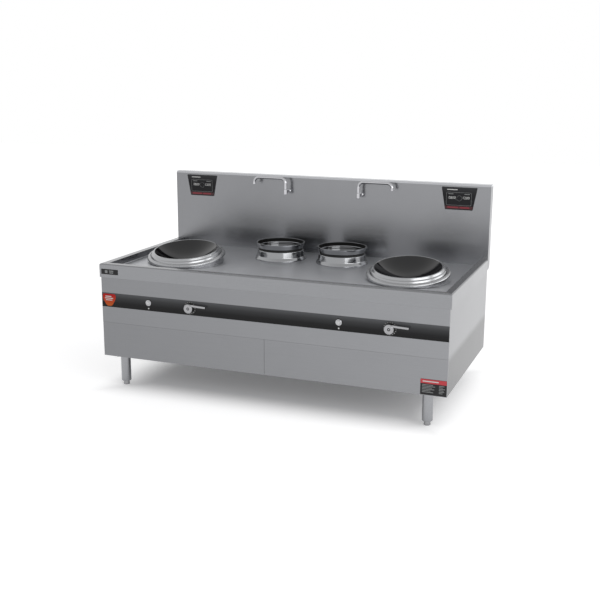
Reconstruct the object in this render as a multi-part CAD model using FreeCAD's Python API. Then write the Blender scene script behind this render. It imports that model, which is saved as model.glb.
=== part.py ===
import FreeCAD, Part
import math
import os

# Commercial wok range: two large tilted wok stations in front, two small pot stations behind,
# on a sunken deck with a backsplash. Millimetres, +Z up. The origin is on the floor, in the
# middle of the width and midway between the front of the levers and the back of the backsplash.
# Front is -Y. Left and right are the cook's. A setback is measured from the front of the rim.

V = FreeCAD.Vector

# Overall sizes
width = 2200.0
depth = 1100.0
rim_height = 780.0
overall_height = 1250.0
body_bottom = 193.0

# Sheet, clearances
sheet = 1.5
deck_sheet = 2.0
spun_sheet = 2.0
join_gap = 0.5
run_fit = 0.05
hole_fit = 0.3
far = 2000.0

# Worktop
rim_width = 46.0
rim_bevel = 6.0
rim_fold = 2.5
apron_drop = 85.0
side_overhang = 8.0
front_overhang = 4.0
deck_drop = 40.0

# Backsplash
splash_depth = 70.0
splash_skirt = 68.0
splash_corner = 22.0
splash_bevel = 10.0
splash_cover_inset = 3.0
splash_cover_fold = 45.0

# Body panels
body_back_inset = 24.0
panel_fold = 15.0
panel_gap = 1.0
side_fold = 15.0
side_top_gap = 0.5
fascia_top_lap = 20.0
band_top = 599.0
band_height = 89.0
fascia_bottom = 410.0
strip_thick = 4.0
strip_proud = 0.5

# Frame
tube = 40.0
tube_wall = 2.0
cross_rail_x = 435.0

# Legs and feet
leg_radius = 30.5
leg_wall = 1.5
leg_end = 26.0
leg_insert = 24.0
leg_plate = 90.0
leg_plate_thick = 3.0
leg_side_inset = 118.0
leg_front_inset = 57.0
leg_rear_side_inset = 192.0
leg_rear_inset = 80.0
foot_radius = 20.0
foot_sole = 5.0
foot_neck = 17.5
foot_stem = 8.0
foot_stem_length = 50.0
foot_chamfer = 1.5
bolt_radius = 4.0
bolt_head = 7.0
bolt_head_thick = 5.0
bolt_length = 14.0
bolt_inset = 11.0

# Wok stations
wok_x = 735.0
wok_setback = 450.0
wok_z = 819.0
wok_tilt = 7.8
wok_opening = 200.0
wok_glass_edge = 202.0
wok_glass_thick = 5.0
wok_bowl_radius = 281.0
wok_glass_drop = 4.0
wok_crest_width = 9.0
wok_trim_outer = 227.0
wok_trim_height = 30.0
wok_trim_thick = 2.5
wok_trim_step = 215.0
wok_trim_step_drop = 13.0
wok_trim_step_width = 3.0
wok_seal_outer = 208.0
wok_seal_inner = 192.0
wok_groove = 3.0
wok_shoulder_lift = 5.0
wok_lip_radius = 249.5
wok_lip_round = 16.0
wok_lip_slope = 2.0
wok_lip_edge = 45.5
wok_skirt_radius = 236.0
wok_hole_radius = 215.0
coil_gap = 3.0
coil_thick = 8.0
coil_start_angle = 6.0
coil_end_angle = 36.0
carrier_thick = 6.0
carrier_hole = 20.0
carrier_flange = 215.0

# Pot stations
tail_x = 212.0
tail_setback = 783.0
tail_top = 847.0
tail_shelf = 801.0
tail_shelf_inner = 118.0
tail_shoulder = 150.0
tail_waist = 156.0
tail_waist_drop = 38.0
tail_flare = 167.0
tail_flare_height = 5.0
tail_hole_radius = 142.0
tail_gasket_thick = 9.0
tail_gasket_outer = 144.0
tail_ring_outer = 158.0
tail_ring_rim = 5.0
tail_ring_wall = 138.0
tail_ring_step = 12.0
tail_ring_waist = 149.0
tail_ring_foot = 142.0
tail_ring_foot_lift = 5.0
tail_ring_thick = 1.5
pot_seat_thick = 2.5
pot_seat_start = 0.12     # where the seat starts and ends, as shares of the ring's slope
pot_seat_end = 0.92
tail_glass_radius = 134.0
tail_glass_thick = 5.0
tail_glass_seal = 2.0
tail_seal_inner = 122.0
tail_coil_inner = 30.0
tail_coil_outer = 114.0
tail_coil_thick = 10.0
tail_carrier_radius = 138.0
tail_carrier_thick = 6.0

# Controls on the strip
left_lever_x = -482.0
right_lever_x = 759.0
left_button_x = -764.0
right_button_x = 459.0
button_rise = 5.0
bezel_radius = 18.5
bezel_proud = 5.0
barrel_radius = 16.0
button_radius = 13.0
button_proud = 3.0
button_travel = 4.0
button_length = 32.0
switch_block = 34.0
switch_block_depth = 26.0
light_radius = 3.0
light_drop = 35.0
light_proud = 1.0
light_length = 8.0
lever_collar = 40.0
lever_collar_thick = 1.5
lever_neck = 17.0
lever_neck_length = 10.0
lever_bush = 9.0
lever_disc = 28.0
lever_disc_thick = 18.0
lever_gap = 0.5
lever_socket = 8.0
lever_socket_depth = 3.0
lever_shaft = 4.0
lever_shaft_length = 42.0
lever_reach = 112.0
lever_arm_width = 14.0
lever_arm_rise = 19.0
lever_arm_thick = 12.0
lever_arm_drop = 4.0
lever_tip_width = 11.0
lever_arm_round = 3.0
lever_switch_size = 44.0
lever_switch_depth = 36.0

# Display panels
display_inset = 199.0
display_drop = 22.0
display_height = 142.0
display_top_width = 227.0
display_bottom_width = 175.0
display_thick = 5.0
display_round = 4.0
display_window_width = 130.0
display_window_height = 90.0
board_thick = 18.0

# Swing taps
tap_x = 254.0
tap_stand_off = 60.0
tap_body_height = 38.0
tap_body_radius = 11.5
tap_stub_rise = 19.0
tap_stub_radius = 9.0
tap_flange_radius = 15.0
tap_flange_thick = 5.0
tap_shank_radius = 10.0
tap_shank_length = 22.0
tap_nut = 16.0
tap_nut_thick = 8.0
tap_socket_depth = 22.0
tap_tube_radius = 9.0
tap_tube_wall = 1.5
tap_arm_drop = 12.0
tap_riser = 70.0
tap_reach = 226.0
tap_bend = 35.0
tap_spout_drop = 46.0
aerator_radius = 10.5
aerator_height = 10.0

# Water pipe
pipe_radius = 7.5
pipe_wall = 1.0
pipe_inlet_length = 25.0
pipe_collar = 9.2
pipe_collar_thick = 6.0
pipe_back_gap = 2.0

# Power modules and fans
module_width = 440.0
module_depth = 360.0
module_height = 160.0
module_bottom = 240.0
module_setback = 490.0
tail_module_width = 300.0
tail_module_depth = 260.0
tail_module_setback = 800.0
tail_module_x = 230.0
stand_off_radius = 8.0
stand_off_inset = 25.0
shroud_radius = 64.0
shroud_wall = 2.0
shroud_length = 34.0
spider_width = 12.0
fan_pin = 4.0
fan_hub = 20.0
fan_hub_height = 24.0
fan_gap = 4.0
fan_tip_gap = 4.0
fan_blades = 7
fan_blade_chord = 24.0
fan_blade_thick = 2.0
fan_blade_pitch = 35.0
vent_slot_width = 8.0
vent_slot_pitch = 20.0
vent_slot_length = 130.0
vent_slots = 7

# Back panel openings, terminal box, cable gland
louvre_length = 220.0
louvre_width = 8.0
louvre_pitch = 22.0
louvre_rows = 8
louvre_bottom = 430.0
terminal_inset = 200.0
terminal_z = 340.0
terminal_width = 200.0
terminal_height = 120.0
terminal_depth = 90.0
gland_thread = 16.0
gland_bore = 12.0
gland_collar = 19.0
gland_out = 20.0
gland_in = 8.0
screw_head = 5.0
screw_head_thick = 2.0
screw_shank = 2.0
screw_shank_length = 10.0
screw_columns = 6
screw_edge = 20.0

# Plain label plates
label_thick = 0.8
name_plate_width = 118.0
name_plate_height = 33.0
name_plate_inset = 13.0
name_plate_drop = 31.5
sticker_width = 92.0
sticker_height = 76.0
sticker_inset = 6.0
sticker_round = 22.0
rating_plate_width = 149.0
rating_plate_height = 92.0
rating_plate_inset = 2.0

# Worked out from the sizes above
half_width = width / 2
terminal_x = terminal_inset - half_width
lever_stand_out = lever_neck_length + lever_gap + lever_disc_thick + strip_proud - front_overhang
front_y = (lever_stand_out - depth) / 2
back_y = front_y + depth
wok_y = front_y + wok_setback
tail_y = front_y + tail_setback
module_y = front_y + module_setback
tail_module_y = front_y + tail_module_setback
splash_y = back_y - splash_depth
deck_top = rim_height - deck_drop
deck_under = deck_top - deck_sheet
body_half = half_width - side_overhang
display_top = overall_height - display_drop
display_x = half_width - display_inset
face_y = front_y + front_overhang
body_back_y = back_y - body_back_inset
frame_half = body_half - sheet
frame_front_y = face_y + panel_fold
frame_back_y = body_back_y - sheet
frame_bottom = body_bottom + sheet
band_bottom = band_top - band_height
band_middle = band_top - band_height / 2
recess_y = face_y + strip_thick - strip_proud
strip_y = face_y - strip_proud
recess_back_y = recess_y + sheet
wok_axis_tilt = math.radians(wok_tilt)
bowl_outer = wok_bowl_radius + wok_glass_thick
bowl_centre = -wok_glass_drop + math.sqrt(bowl_outer ** 2 - wok_glass_edge ** 2)
tail_gasket_top = tail_shelf + tail_gasket_thick
tap_axis_y = splash_y - tap_stand_off
tap_arm_height = overall_height - tap_arm_drop
tap_body_bottom = tap_arm_height - tap_riser - tap_body_height
tap_stub_z = tap_body_bottom + tap_stub_rise
tap_socket_z = tap_body_bottom + tap_body_height - tap_socket_depth
lever_neck_y = strip_y - lever_neck_length
lever_back_y = lever_neck_y - lever_gap
pipe_y = body_back_y + pipe_radius + pipe_back_gap


# Shape helpers

def box(x0, x1, y0, y1, z0, z1):
    return Part.makeBox(x1 - x0, y1 - y0, z1 - z0, V(x0, y0, z0))


def rod(x, y, z, along, radius, length):
    return Part.makeCylinder(radius, length, V(x, y, z), along)


def left_of(start, end):
    step = (end - start).normalize()
    return V(-step.y, step.x, 0)


# The line that keeps a steady distance to the left of a line of points.
def beside(points, distance):
    normals = [left_of(start, end) for start, end in zip(points, points[1:])]
    moved = [points[0] + normals[0] * distance]
    for corner, before, after in zip(points[1:], normals, normals[1:]):
        moved.append(corner + (before + after) * (distance / (1 + before.dot(after))))
    moved.append(points[-1] + normals[-1] * distance)
    return moved


# Lines through the points, with a tangent arc of its own radius at each inner corner.
def rounded_edges(points, radii):
    edges = []
    at = points[0]
    for before, corner, after, radius in zip(points, points[1:], points[2:], radii):
        if radius <= 0:
            edges.append(Part.makeLine(at, corner))
            at = corner
            continue
        back = (before - corner).normalize()
        ahead = (after - corner).normalize()
        half_angle = back.getAngle(ahead) / 2
        reach = radius / math.tan(half_angle)
        middle = (back + ahead).normalize() * (radius / math.sin(half_angle) - radius)
        edges.append(Part.makeLine(at, corner + back * reach))
        edges.append(Part.Arc(corner + back * reach, corner + middle, corner + ahead * reach).toShape())
        at = corner + ahead * reach
    edges.append(Part.makeLine(at, points[-1]))
    return edges


# Section of a bent sheet. The points run along one skin, and the metal lies to their left.
def bent_sheet(points, radii, thick):
    points = [V(a, b, 0) for a, b in points]
    normals = [left_of(start, end) for start, end in zip(points, points[1:])]
    far_radii = []
    for before, after, radius in zip(normals, normals[1:], radii):
        turn = math.copysign(1, before.cross(after).z)
        far_radii.append(max(0, radius - thick * turn) if radius > 0 else 0)
    near = rounded_edges(points, radii)
    opposite = beside(points, thick)
    ends = [Part.makeLine(points[0], opposite[0]), Part.makeLine(points[-1], opposite[-1])]
    edges = near + rounded_edges(opposite, far_radii) + ends
    return Part.Face(Part.Wire(Part.__sortEdges__(edges)))


def polygon(points):
    corners = [V(a, b, 0) for a, b in points]
    return Part.Face(Part.makePolygon(corners + corners[:1]))


def rounded_polygon(points, radius):
    corners = [V(a, b, 0) for a, b in points]
    start = (corners[-1] + corners[0]) * 0.5
    edges = rounded_edges([start] + corners + [start], [radius] * len(corners))
    return Part.Face(Part.Wire(edges))


# A flat section (a, b) becomes (y, z) and runs along x.
def run_x(section, x0, x1):
    section.rotate(V(0, 0, 0), V(1, 1, 1), 120)
    section.translate(V(x0, 0, 0))
    return section.extrude(V(x1 - x0, 0, 0))


# A flat section (a, b) becomes (x, z) and runs along y.
def run_y(section, y0, y1):
    section.rotate(V(0, 0, 0), V(1, 0, 0), 90)
    section.translate(V(0, y0, 0))
    return section.extrude(V(0, y1 - y0, 0))


def run_z(section, z0, z1):
    section.translate(V(0, 0, z0))
    return section.extrude(V(0, 0, z1 - z0))


# A flat section (radius, height) turned about the z axis.
def spun(section):
    section.rotate(V(0, 0, 0), V(1, 0, 0), 90)
    return section.revolve(V(0, 0, 0), V(0, 0, 1), 360)


def tray(x0, x1, y0, y1, z0, z1, wall):
    hollow = box(x0 + wall, x1 - wall, y0 + wall, y1 + wall, z0 + wall, z1 - wall)
    return box(x0, x1, y0, y1, z0, z1).cut(hollow)


def mirrored(shape):
    return shape.mirror(V(0, 0, 0), V(1, 0, 0))


def moved(shape, x, y, z):
    placed = shape.copy()
    placed.translate(V(x, y, z))
    return placed


# Worktop

def rim_section(edge, side):
    return bent_sheet(
        [(edge, rim_height - apron_drop),
         (edge, rim_height - rim_bevel),
         (edge + side * rim_bevel, rim_height),
         (edge + side * rim_width, rim_height),
         (edge + side * rim_width, deck_top)],
        [rim_fold] * 3,
        -side * sheet)


def rim_front():
    inner = half_width - rim_width
    corner = polygon([(-half_width, front_y), (half_width, front_y),
                      (inner, front_y + rim_width), (-inner, front_y + rim_width)])
    bar = run_x(rim_section(front_y, 1), -half_width, half_width)
    return bar.common(run_z(corner, 0, rim_height))


def rim_right():
    inner = half_width - rim_width
    corner = polygon([(half_width, front_y), (half_width, splash_y),
                      (inner, splash_y), (inner, front_y + rim_width)])
    bar = run_y(rim_section(half_width, -1), front_y, splash_y)
    return bar.common(run_z(corner, 0, rim_height))


def deck_plate():
    half = frame_half - join_gap
    plate = box(-half, half, face_y + sheet + join_gap, frame_back_y - join_gap, deck_under, deck_top)
    hole_y = wok_y + (wok_z - deck_top) * math.tan(wok_axis_tilt)
    for side in (-1, 1):
        plate = plate.cut(rod(side * wok_x, hole_y, deck_under, V(0, 0, 1), wok_hole_radius, deck_sheet))
        plate = plate.cut(rod(side * tail_x, tail_y, deck_under, V(0, 0, 1), tail_hole_radius, deck_sheet))
    return plate


# Backsplash

def backsplash_front():
    face = bent_sheet(
        [(splash_y, deck_top),
         (splash_y, overall_height - splash_bevel),
         (splash_y + splash_bevel, overall_height),
         (back_y, overall_height),
         (back_y, overall_height - panel_fold)],
        [rim_fold] * 3,
        -sheet)
    shell = run_x(face, -half_width + sheet, half_width - sheet)
    bottom = rim_height - splash_skirt
    end = [(splash_y, bottom), (back_y - splash_corner, bottom), (back_y, bottom + splash_corner),
           (back_y, overall_height), (splash_y + splash_bevel, overall_height),
           (splash_y, overall_height - splash_bevel)]
    for x in (-half_width, half_width - sheet):
        shell = shell.fuse(run_x(polygon(end), x, x + sheet))
    window_z = display_top - display_height / 2
    for side in (-1, 1):
        x = side * display_x
        shell = shell.cut(box(x - display_window_width / 2, x + display_window_width / 2,
                              splash_y, splash_y + sheet,
                              window_z - display_window_height / 2, window_z + display_window_height / 2))
        shell = shell.cut(rod(side * tap_x, splash_y, tap_stub_z, V(0, 1, 0),
                              tap_shank_radius + hole_fit, sheet))
    return shell.removeSplitter()


def backsplash_back():
    outer = back_y - sheet - splash_cover_inset
    cover = bent_sheet(
        [(outer, overall_height - 2 * sheet), (outer, deck_top), (outer - splash_cover_fold, deck_top)],
        [rim_fold],
        -sheet)
    half = half_width - sheet - join_gap
    cover = run_x(cover, -half, half)
    return cover.cut(rod(0, pipe_y, deck_top, V(0, 0, 1), pipe_radius + hole_fit, 2 * sheet))


# Body panels

def button_places():
    return ((left_button_x, "left"), (right_button_x, "right"))


def lever_places():
    return ((left_lever_x, "left"), (right_lever_x, "right"))


# Holes that the controls need through whatever stands between two depths.
def control_holes(y0, y1):
    holes = []
    for x, side in button_places():
        z = band_middle + button_rise
        holes.append(rod(x, y0, z, V(0, 1, 0), barrel_radius + hole_fit, y1 - y0))
        holes.append(rod(x, y0, z - light_drop, V(0, 1, 0), light_radius + hole_fit, y1 - y0))
    for x, side in lever_places():
        holes.append(rod(x, y0, band_middle, V(0, 1, 0), lever_bush + hole_fit, y1 - y0))
    return holes


def fascia_panel():
    section = bent_sheet(
        [(face_y, deck_top + fascia_top_lap),
         (face_y, band_top),
         (recess_y, band_top),
         (recess_y, band_bottom),
         (face_y, band_bottom),
         (face_y, fascia_bottom),
         (frame_front_y, fascia_bottom)],
        [0] * 5,
        sheet)
    panel = run_x(section, -body_half, body_half)
    for x in (-body_half, body_half - sheet):
        end = box(x, x + sheet, face_y, frame_front_y, fascia_bottom, deck_top + fascia_top_lap)
        panel = panel.fuse(end.cut(box(x, x + sheet, face_y, recess_y, band_bottom, band_top)))
    for hole in control_holes(recess_y, recess_back_y):
        panel = panel.cut(hole)
    return panel.removeSplitter()


def control_strip():
    strip = box(-body_half, body_half, strip_y, recess_y, band_bottom + join_gap, band_top - join_gap)
    for hole in control_holes(strip_y, recess_y):
        strip = strip.cut(hole)
    return strip


def service_panel_right():
    return tray(panel_gap / 2, body_half, face_y, frame_front_y,
                body_bottom, fascia_bottom - join_gap, sheet)


def side_panel_right():
    section = bent_sheet(
        [(body_half - side_fold, body_bottom), (body_half, body_bottom), (body_half, deck_top - side_top_gap)],
        [sheet],
        sheet)
    return run_y(section, frame_front_y, body_back_y)


def back_panel():
    half = frame_half - join_gap
    panel = box(-half, half, frame_back_y, body_back_y, frame_bottom, deck_under)
    for side in (-1, 1):
        for row in range(louvre_rows):
            z = louvre_bottom + row * louvre_pitch
            slot = box(side * wok_x - louvre_length / 2, side * wok_x + louvre_length / 2,
                       frame_back_y, body_back_y, z, z + louvre_width)
            panel = panel.cut(slot)
    return panel.cut(rod(terminal_x, frame_back_y, terminal_z, V(0, 1, 0), gland_thread + hole_fit, sheet))


def leg_places():
    front_x = body_half - leg_side_inset
    front_leg_y = face_y + leg_front_inset
    rear_x = body_half - leg_rear_side_inset
    rear_leg_y = body_back_y - leg_rear_inset
    return (("front_left", -front_x, front_leg_y), ("front_right", front_x, front_leg_y),
            ("rear_left", -rear_x, rear_leg_y), ("rear_right", rear_x, rear_leg_y))


def bolt_places(x, y):
    reach = leg_plate / 2 - bolt_inset
    return [(x + i * reach, y + j * reach) for i in (-1, 1) for j in (-1, 1)]


def base_panel():
    half = body_half - side_fold - join_gap
    panel = box(-half, half, frame_front_y + join_gap, frame_back_y - join_gap, body_bottom, frame_bottom)
    for side in (-1, 1):
        for slot in range(vent_slots):
            y = module_y + (slot - (vent_slots - 1) / 2) * vent_slot_pitch
            panel = panel.cut(box(side * wok_x - vent_slot_length / 2, side * wok_x + vent_slot_length / 2,
                                  y - vent_slot_width / 2, y + vent_slot_width / 2,
                                  body_bottom, frame_bottom))
    for name, x, y in leg_places():
        for bolt_x, bolt_y in bolt_places(x, y):
            panel = panel.cut(rod(bolt_x, bolt_y, body_bottom, V(0, 0, 1), bolt_radius + hole_fit, sheet))
    return panel


# Frame of square tube

def square_tube(x0, x1, y0, y1, z0, z1, along):
    insets = [0 if axis == along else tube_wall for axis in "xyz"]
    hollow = box(x0 + insets[0], x1 - insets[0], y0 + insets[1], y1 - insets[1],
                 z0 + insets[2], z1 - insets[2])
    return box(x0, x1, y0, y1, z0, z1).cut(hollow)


# Through holes in the bottom rails and their lower walls for the leg bolts.
def with_bolt_holes(rail):
    for name, x, y in leg_places():
        for bolt_x, bolt_y in bolt_places(x, y):
            rail = rail.cut(rod(bolt_x, bolt_y, body_bottom, V(0, 0, 1), bolt_radius + hole_fit, tube))
    return rail


def frame_posts():
    posts = []
    for x in (-frame_half, frame_half - tube):
        for y in (frame_front_y, frame_back_y - tube):
            posts.append(square_tube(x, x + tube, y, y + tube, frame_bottom, deck_under, "z"))
    for y in (frame_front_y, frame_back_y - tube):
        posts.append(square_tube(-tube / 2, tube / 2, y, y + tube,
                                 frame_bottom + tube, deck_under - tube, "z"))
    return Part.makeCompound(posts)


def frame_rails():
    rails = []
    reach = frame_half - tube
    for y in (frame_front_y, frame_back_y - tube):
        for z in (frame_bottom, deck_under - tube):
            rail = square_tube(-reach, reach, y, y + tube, z, z + tube, "x")
            rails.append(with_bolt_holes(rail))
    return Part.makeCompound(rails)


def frame_cross_rails():
    rails = []
    ends = frame_half - tube / 2
    for x in (-ends, -cross_rail_x, 0, cross_rail_x, ends):
        for z in (frame_bottom, deck_under - tube):
            rails.append(square_tube(x - tube / 2, x + tube / 2, frame_front_y + tube,
                                     frame_back_y - tube, z, z + tube, "y"))
    return Part.makeCompound(rails)


# Legs and screw feet

def leg(x, y):
    top = body_bottom - leg_plate_thick
    plate = box(x - leg_plate / 2, x + leg_plate / 2, y - leg_plate / 2, y + leg_plate / 2,
                top, body_bottom)
    for bolt_x, bolt_y in bolt_places(x, y):
        plate = plate.cut(rod(bolt_x, bolt_y, top, V(0, 0, 1), bolt_radius + hole_fit, leg_plate_thick))
    pipe = rod(x, y, leg_end, V(0, 0, 1), leg_radius, top - leg_end)
    pipe = pipe.cut(rod(x, y, leg_end + leg_insert, V(0, 0, 1), leg_radius - leg_wall, far))
    pipe = pipe.cut(rod(x, y, 0, V(0, 0, 1), foot_stem + run_fit, far))
    return plate.fuse(pipe).removeSplitter()


def legs():
    return Part.makeCompound([leg(x, y) for name, x, y in leg_places()])


def foot():
    section = polygon([(0, 0), (foot_radius - foot_chamfer, 0), (foot_radius, foot_chamfer),
                       (foot_radius, foot_sole), (foot_neck, leg_end), (foot_stem, leg_end),
                       (foot_stem, leg_end + foot_stem_length), (0, leg_end + foot_stem_length)])
    return spun(section)


# Wok stations, modelled about the z axis with the opening at z = 0, then tilted and placed

def at_wok(shape, side):
    placed = shape.copy()
    placed.rotate(V(0, 0, 0), V(1, 0, 0), wok_tilt)
    placed.translate(V(side * wok_x, wok_y, wok_z))
    return placed


def wok_shelf_height():
    return -wok_trim_height


def wok_ring(side):
    shelf = wok_shelf_height()
    shoulder = shelf + wok_shoulder_lift
    groove = wok_trim_outer + wok_groove
    below_deck = -(wok_z - deck_top + wok_skirt_radius) / math.cos(wok_axis_tilt)
    section = bent_sheet(
        [(wok_seal_inner, shelf),
         (groove, shelf),
         (groove, shoulder),
         (wok_lip_radius, shoulder - wok_lip_slope),
         (wok_lip_radius, -wok_lip_edge),
         (wok_skirt_radius, -wok_lip_edge - wok_lip_slope),
         (wok_skirt_radius, below_deck)],
        [1, spun_sheet, wok_lip_round, spun_sheet + 1, spun_sheet],
        -spun_sheet)
    ring = at_wok(spun(section), side)
    return ring.cut(box(-far, far, -far, far, -far, deck_top))


def wok_trim_ring(side):
    slope_end = wok_trim_outer + wok_trim_thick
    drop_end = wok_trim_height + wok_trim_thick
    step_end = wok_trim_step + wok_trim_step_width
    step_low = wok_trim_step_drop + wok_trim_step_width / 2
    section = bent_sheet(
        [(wok_opening, -wok_glass_drop),
         (wok_opening + wok_crest_width / 3, 0),
         (wok_opening + wok_crest_width, 0),
         (wok_trim_step, -wok_trim_step_drop),
         (step_end, -step_low),
         (slope_end, -drop_end)],
        [wok_trim_thick / 2, 2 * wok_trim_thick, wok_trim_thick / 2, wok_trim_thick / 2],
        -wok_trim_thick)
    ring = spun(section)
    seat = rod(0, 0, -far, V(0, 0, 1), wok_seal_outer + hole_fit, far - wok_glass_drop)
    below = rod(0, 0, -far, V(0, 0, 1), far, far - wok_trim_height)
    return at_wok(ring.cut(seat).cut(below), side)


# Part of a shell about the bowl's centre, between two angles from its lowest point.
def bowl_shell(inner, outer, start_angle, end_angle):
    def at(radius, angle):
        return V(radius * math.sin(angle), bowl_centre - radius * math.cos(angle), 0)
    start = math.radians(start_angle)
    end = math.radians(end_angle)
    middle = (start + end) / 2
    edges = [Part.Arc(at(inner, start), at(inner, middle), at(inner, end)).toShape(),
             Part.makeLine(at(inner, end), at(outer, end)),
             Part.Arc(at(outer, end), at(outer, middle), at(outer, start)).toShape(),
             Part.makeLine(at(outer, start), at(inner, start))]
    return spun(Part.Face(Part.Wire(edges)))


def wok_glass(side):
    rim_angle = math.degrees(math.asin(wok_glass_edge / bowl_outer))
    shell = bowl_shell(wok_bowl_radius, bowl_outer, 0, rim_angle + wok_glass_thick)
    above = rod(0, 0, -wok_glass_drop, V(0, 0, 1), far, far)
    return at_wok(shell.cut(above), side)


def wok_seal():
    shelf = wok_shelf_height()
    ring = rod(0, 0, shelf, V(0, 0, 1), wok_seal_outer, wok_trim_height - wok_glass_drop)
    ring = ring.cut(rod(0, 0, shelf, V(0, 0, 1), wok_seal_inner, wok_trim_height))
    return ring.cut(Part.makeSphere(bowl_outer + run_fit, V(0, 0, bowl_centre)))


def wok_coil():
    start = bowl_outer + coil_gap
    return bowl_shell(start, start + coil_thick, coil_start_angle, coil_end_angle)


def wok_coil_carrier():
    inner = bowl_outer + coil_gap + coil_thick
    top = wok_shelf_height() - spun_sheet
    end = math.degrees(math.acos((bowl_centre - top) / (inner + carrier_thick)))
    dish = bowl_shell(inner, inner + carrier_thick, coil_start_angle, end + 1)
    brim = rod(0, 0, top - carrier_thick, V(0, 0, 1), carrier_flange, carrier_thick)
    brim = brim.cut(Part.makeSphere(inner, V(0, 0, bowl_centre)))
    dish = dish.fuse(brim).cut(rod(0, 0, top, V(0, 0, 1), far, far))
    return dish.removeSplitter()


# Pot stations, modelled about the z axis at their real height

def at_tail(shape, side):
    return moved(shape, side * tail_x, tail_y, 0)


def ring(inner, outer, z0, z1):
    return rod(0, 0, z0, V(0, 0, 1), outer, z1 - z0).cut(rod(0, 0, z0, V(0, 0, 1), inner, z1 - z0))


def tail_collar():
    section = bent_sheet(
        [(tail_shelf_inner, tail_shelf),
         (tail_shoulder, tail_shelf),
         (tail_waist, tail_shelf - tail_waist_drop),
         (tail_flare, deck_top + tail_flare_height),
         (tail_flare, deck_top)],
        [3 * spun_sheet, 5 * spun_sheet, 3 * spun_sheet],
        -spun_sheet)
    return spun(section)


def tail_ring_outline():
    return [(tail_ring_wall, tail_gasket_top),
            (tail_ring_wall, tail_gasket_top + tail_ring_step),
            (tail_ring_outer - tail_ring_rim, tail_top),
            (tail_ring_outer, tail_top),
            (tail_ring_outer - tail_ring_thick, tail_top - 2 * tail_ring_rim),
            (tail_ring_waist, tail_gasket_top + tail_ring_foot_lift),
            (tail_ring_foot, tail_gasket_top)]


def tail_ring():
    bends = [tail_ring_thick, 0, tail_ring_thick, 2 * tail_ring_thick, 2 * tail_ring_thick]
    return spun(bent_sheet(tail_ring_outline(), bends, -tail_ring_thick))


def pot_seat():
    low, high = tail_ring_outline()[1:3]
    start = [low[i] + (high[i] - low[i]) * pot_seat_start for i in (0, 1)]
    end = [low[i] + (high[i] - low[i]) * pot_seat_end for i in (0, 1)]
    return spun(bent_sheet([start, end], [], pot_seat_thick))


def tail_glass():
    bottom = tail_shelf + tail_glass_seal
    return rod(0, 0, bottom, V(0, 0, 1), tail_glass_radius, tail_glass_thick)


def tail_coil():
    bottom = tail_shelf - tail_coil_thick - spun_sheet
    return ring(tail_coil_inner, tail_coil_outer, bottom, bottom + tail_coil_thick)


def tail_coil_carrier():
    coil_bottom = tail_shelf - tail_coil_thick - spun_sheet
    plate = rod(0, 0, coil_bottom - tail_carrier_thick, V(0, 0, 1), tail_carrier_radius, tail_carrier_thick)
    wall = ring(tail_coil_outer + coil_gap, tail_carrier_radius, coil_bottom, tail_shelf - spun_sheet)
    return plate.fuse(wall).removeSplitter()


def seals():
    pieces = []
    for side in (-1, 1):
        pieces.append(at_wok(wok_seal(), side))
        gasket = ring(tail_ring_wall, tail_gasket_outer, tail_shelf, tail_gasket_top)
        glass_seal = ring(tail_seal_inner, tail_glass_radius, tail_shelf, tail_shelf + tail_glass_seal)
        for piece in (gasket, glass_seal, pot_seat()):
            pieces.append(at_tail(piece, side))
    return Part.makeCompound(pieces)


def coil_carriers():
    pieces = []
    for side in (-1, 1):
        pieces.append(at_wok(wok_coil_carrier(), side))
        pieces.append(at_tail(tail_coil_carrier(), side))
    return Part.makeCompound(pieces)


# Controls

def button(x):
    z = band_middle + button_rise
    return rod(x, strip_y - bezel_proud - button_proud, z, V(0, 1, 0), button_radius, button_length)


def button_housing(x):
    z = band_middle + button_rise
    front = strip_y - bezel_proud
    bore_end = front - button_proud + button_length + button_travel + join_gap
    block_y = recess_back_y
    housing = rod(x, front, z, V(0, 1, 0), bezel_radius, bezel_proud)
    housing = housing.fuse(rod(x, strip_y, z, V(0, 1, 0), barrel_radius, block_y - strip_y))
    block = box(x - switch_block / 2, x + switch_block / 2, block_y, block_y + switch_block_depth,
                z - switch_block / 2, z + switch_block / 2)
    housing = housing.fuse(block).removeSplitter()
    return housing.cut(rod(x, front, z, V(0, 1, 0), button_radius + run_fit, bore_end - front))


def indicator_light(x):
    z = band_middle + button_rise - light_drop
    return rod(x, strip_y - light_proud, z, V(0, 1, 0), light_radius, light_length)


def lever_switch(x):
    collar = rod(x, strip_y - lever_collar_thick, band_middle, V(0, 1, 0), lever_collar, lever_collar_thick)
    neck = rod(x, lever_neck_y, band_middle, V(0, 1, 0), lever_neck, lever_neck_length)
    bush = rod(x, strip_y, band_middle, V(0, 1, 0), lever_bush, recess_back_y - strip_y)
    half = lever_switch_size / 2
    body = box(x - half, x + half, recess_back_y, recess_back_y + lever_switch_depth,
               band_middle - half, band_middle + half)
    switch = collar.fuse(neck).fuse(bush).fuse(body).removeSplitter()
    bore = rod(x, lever_neck_y, band_middle, V(0, 1, 0), lever_shaft + run_fit,
               lever_shaft_length - lever_gap + join_gap)
    return switch.cut(bore)


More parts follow.
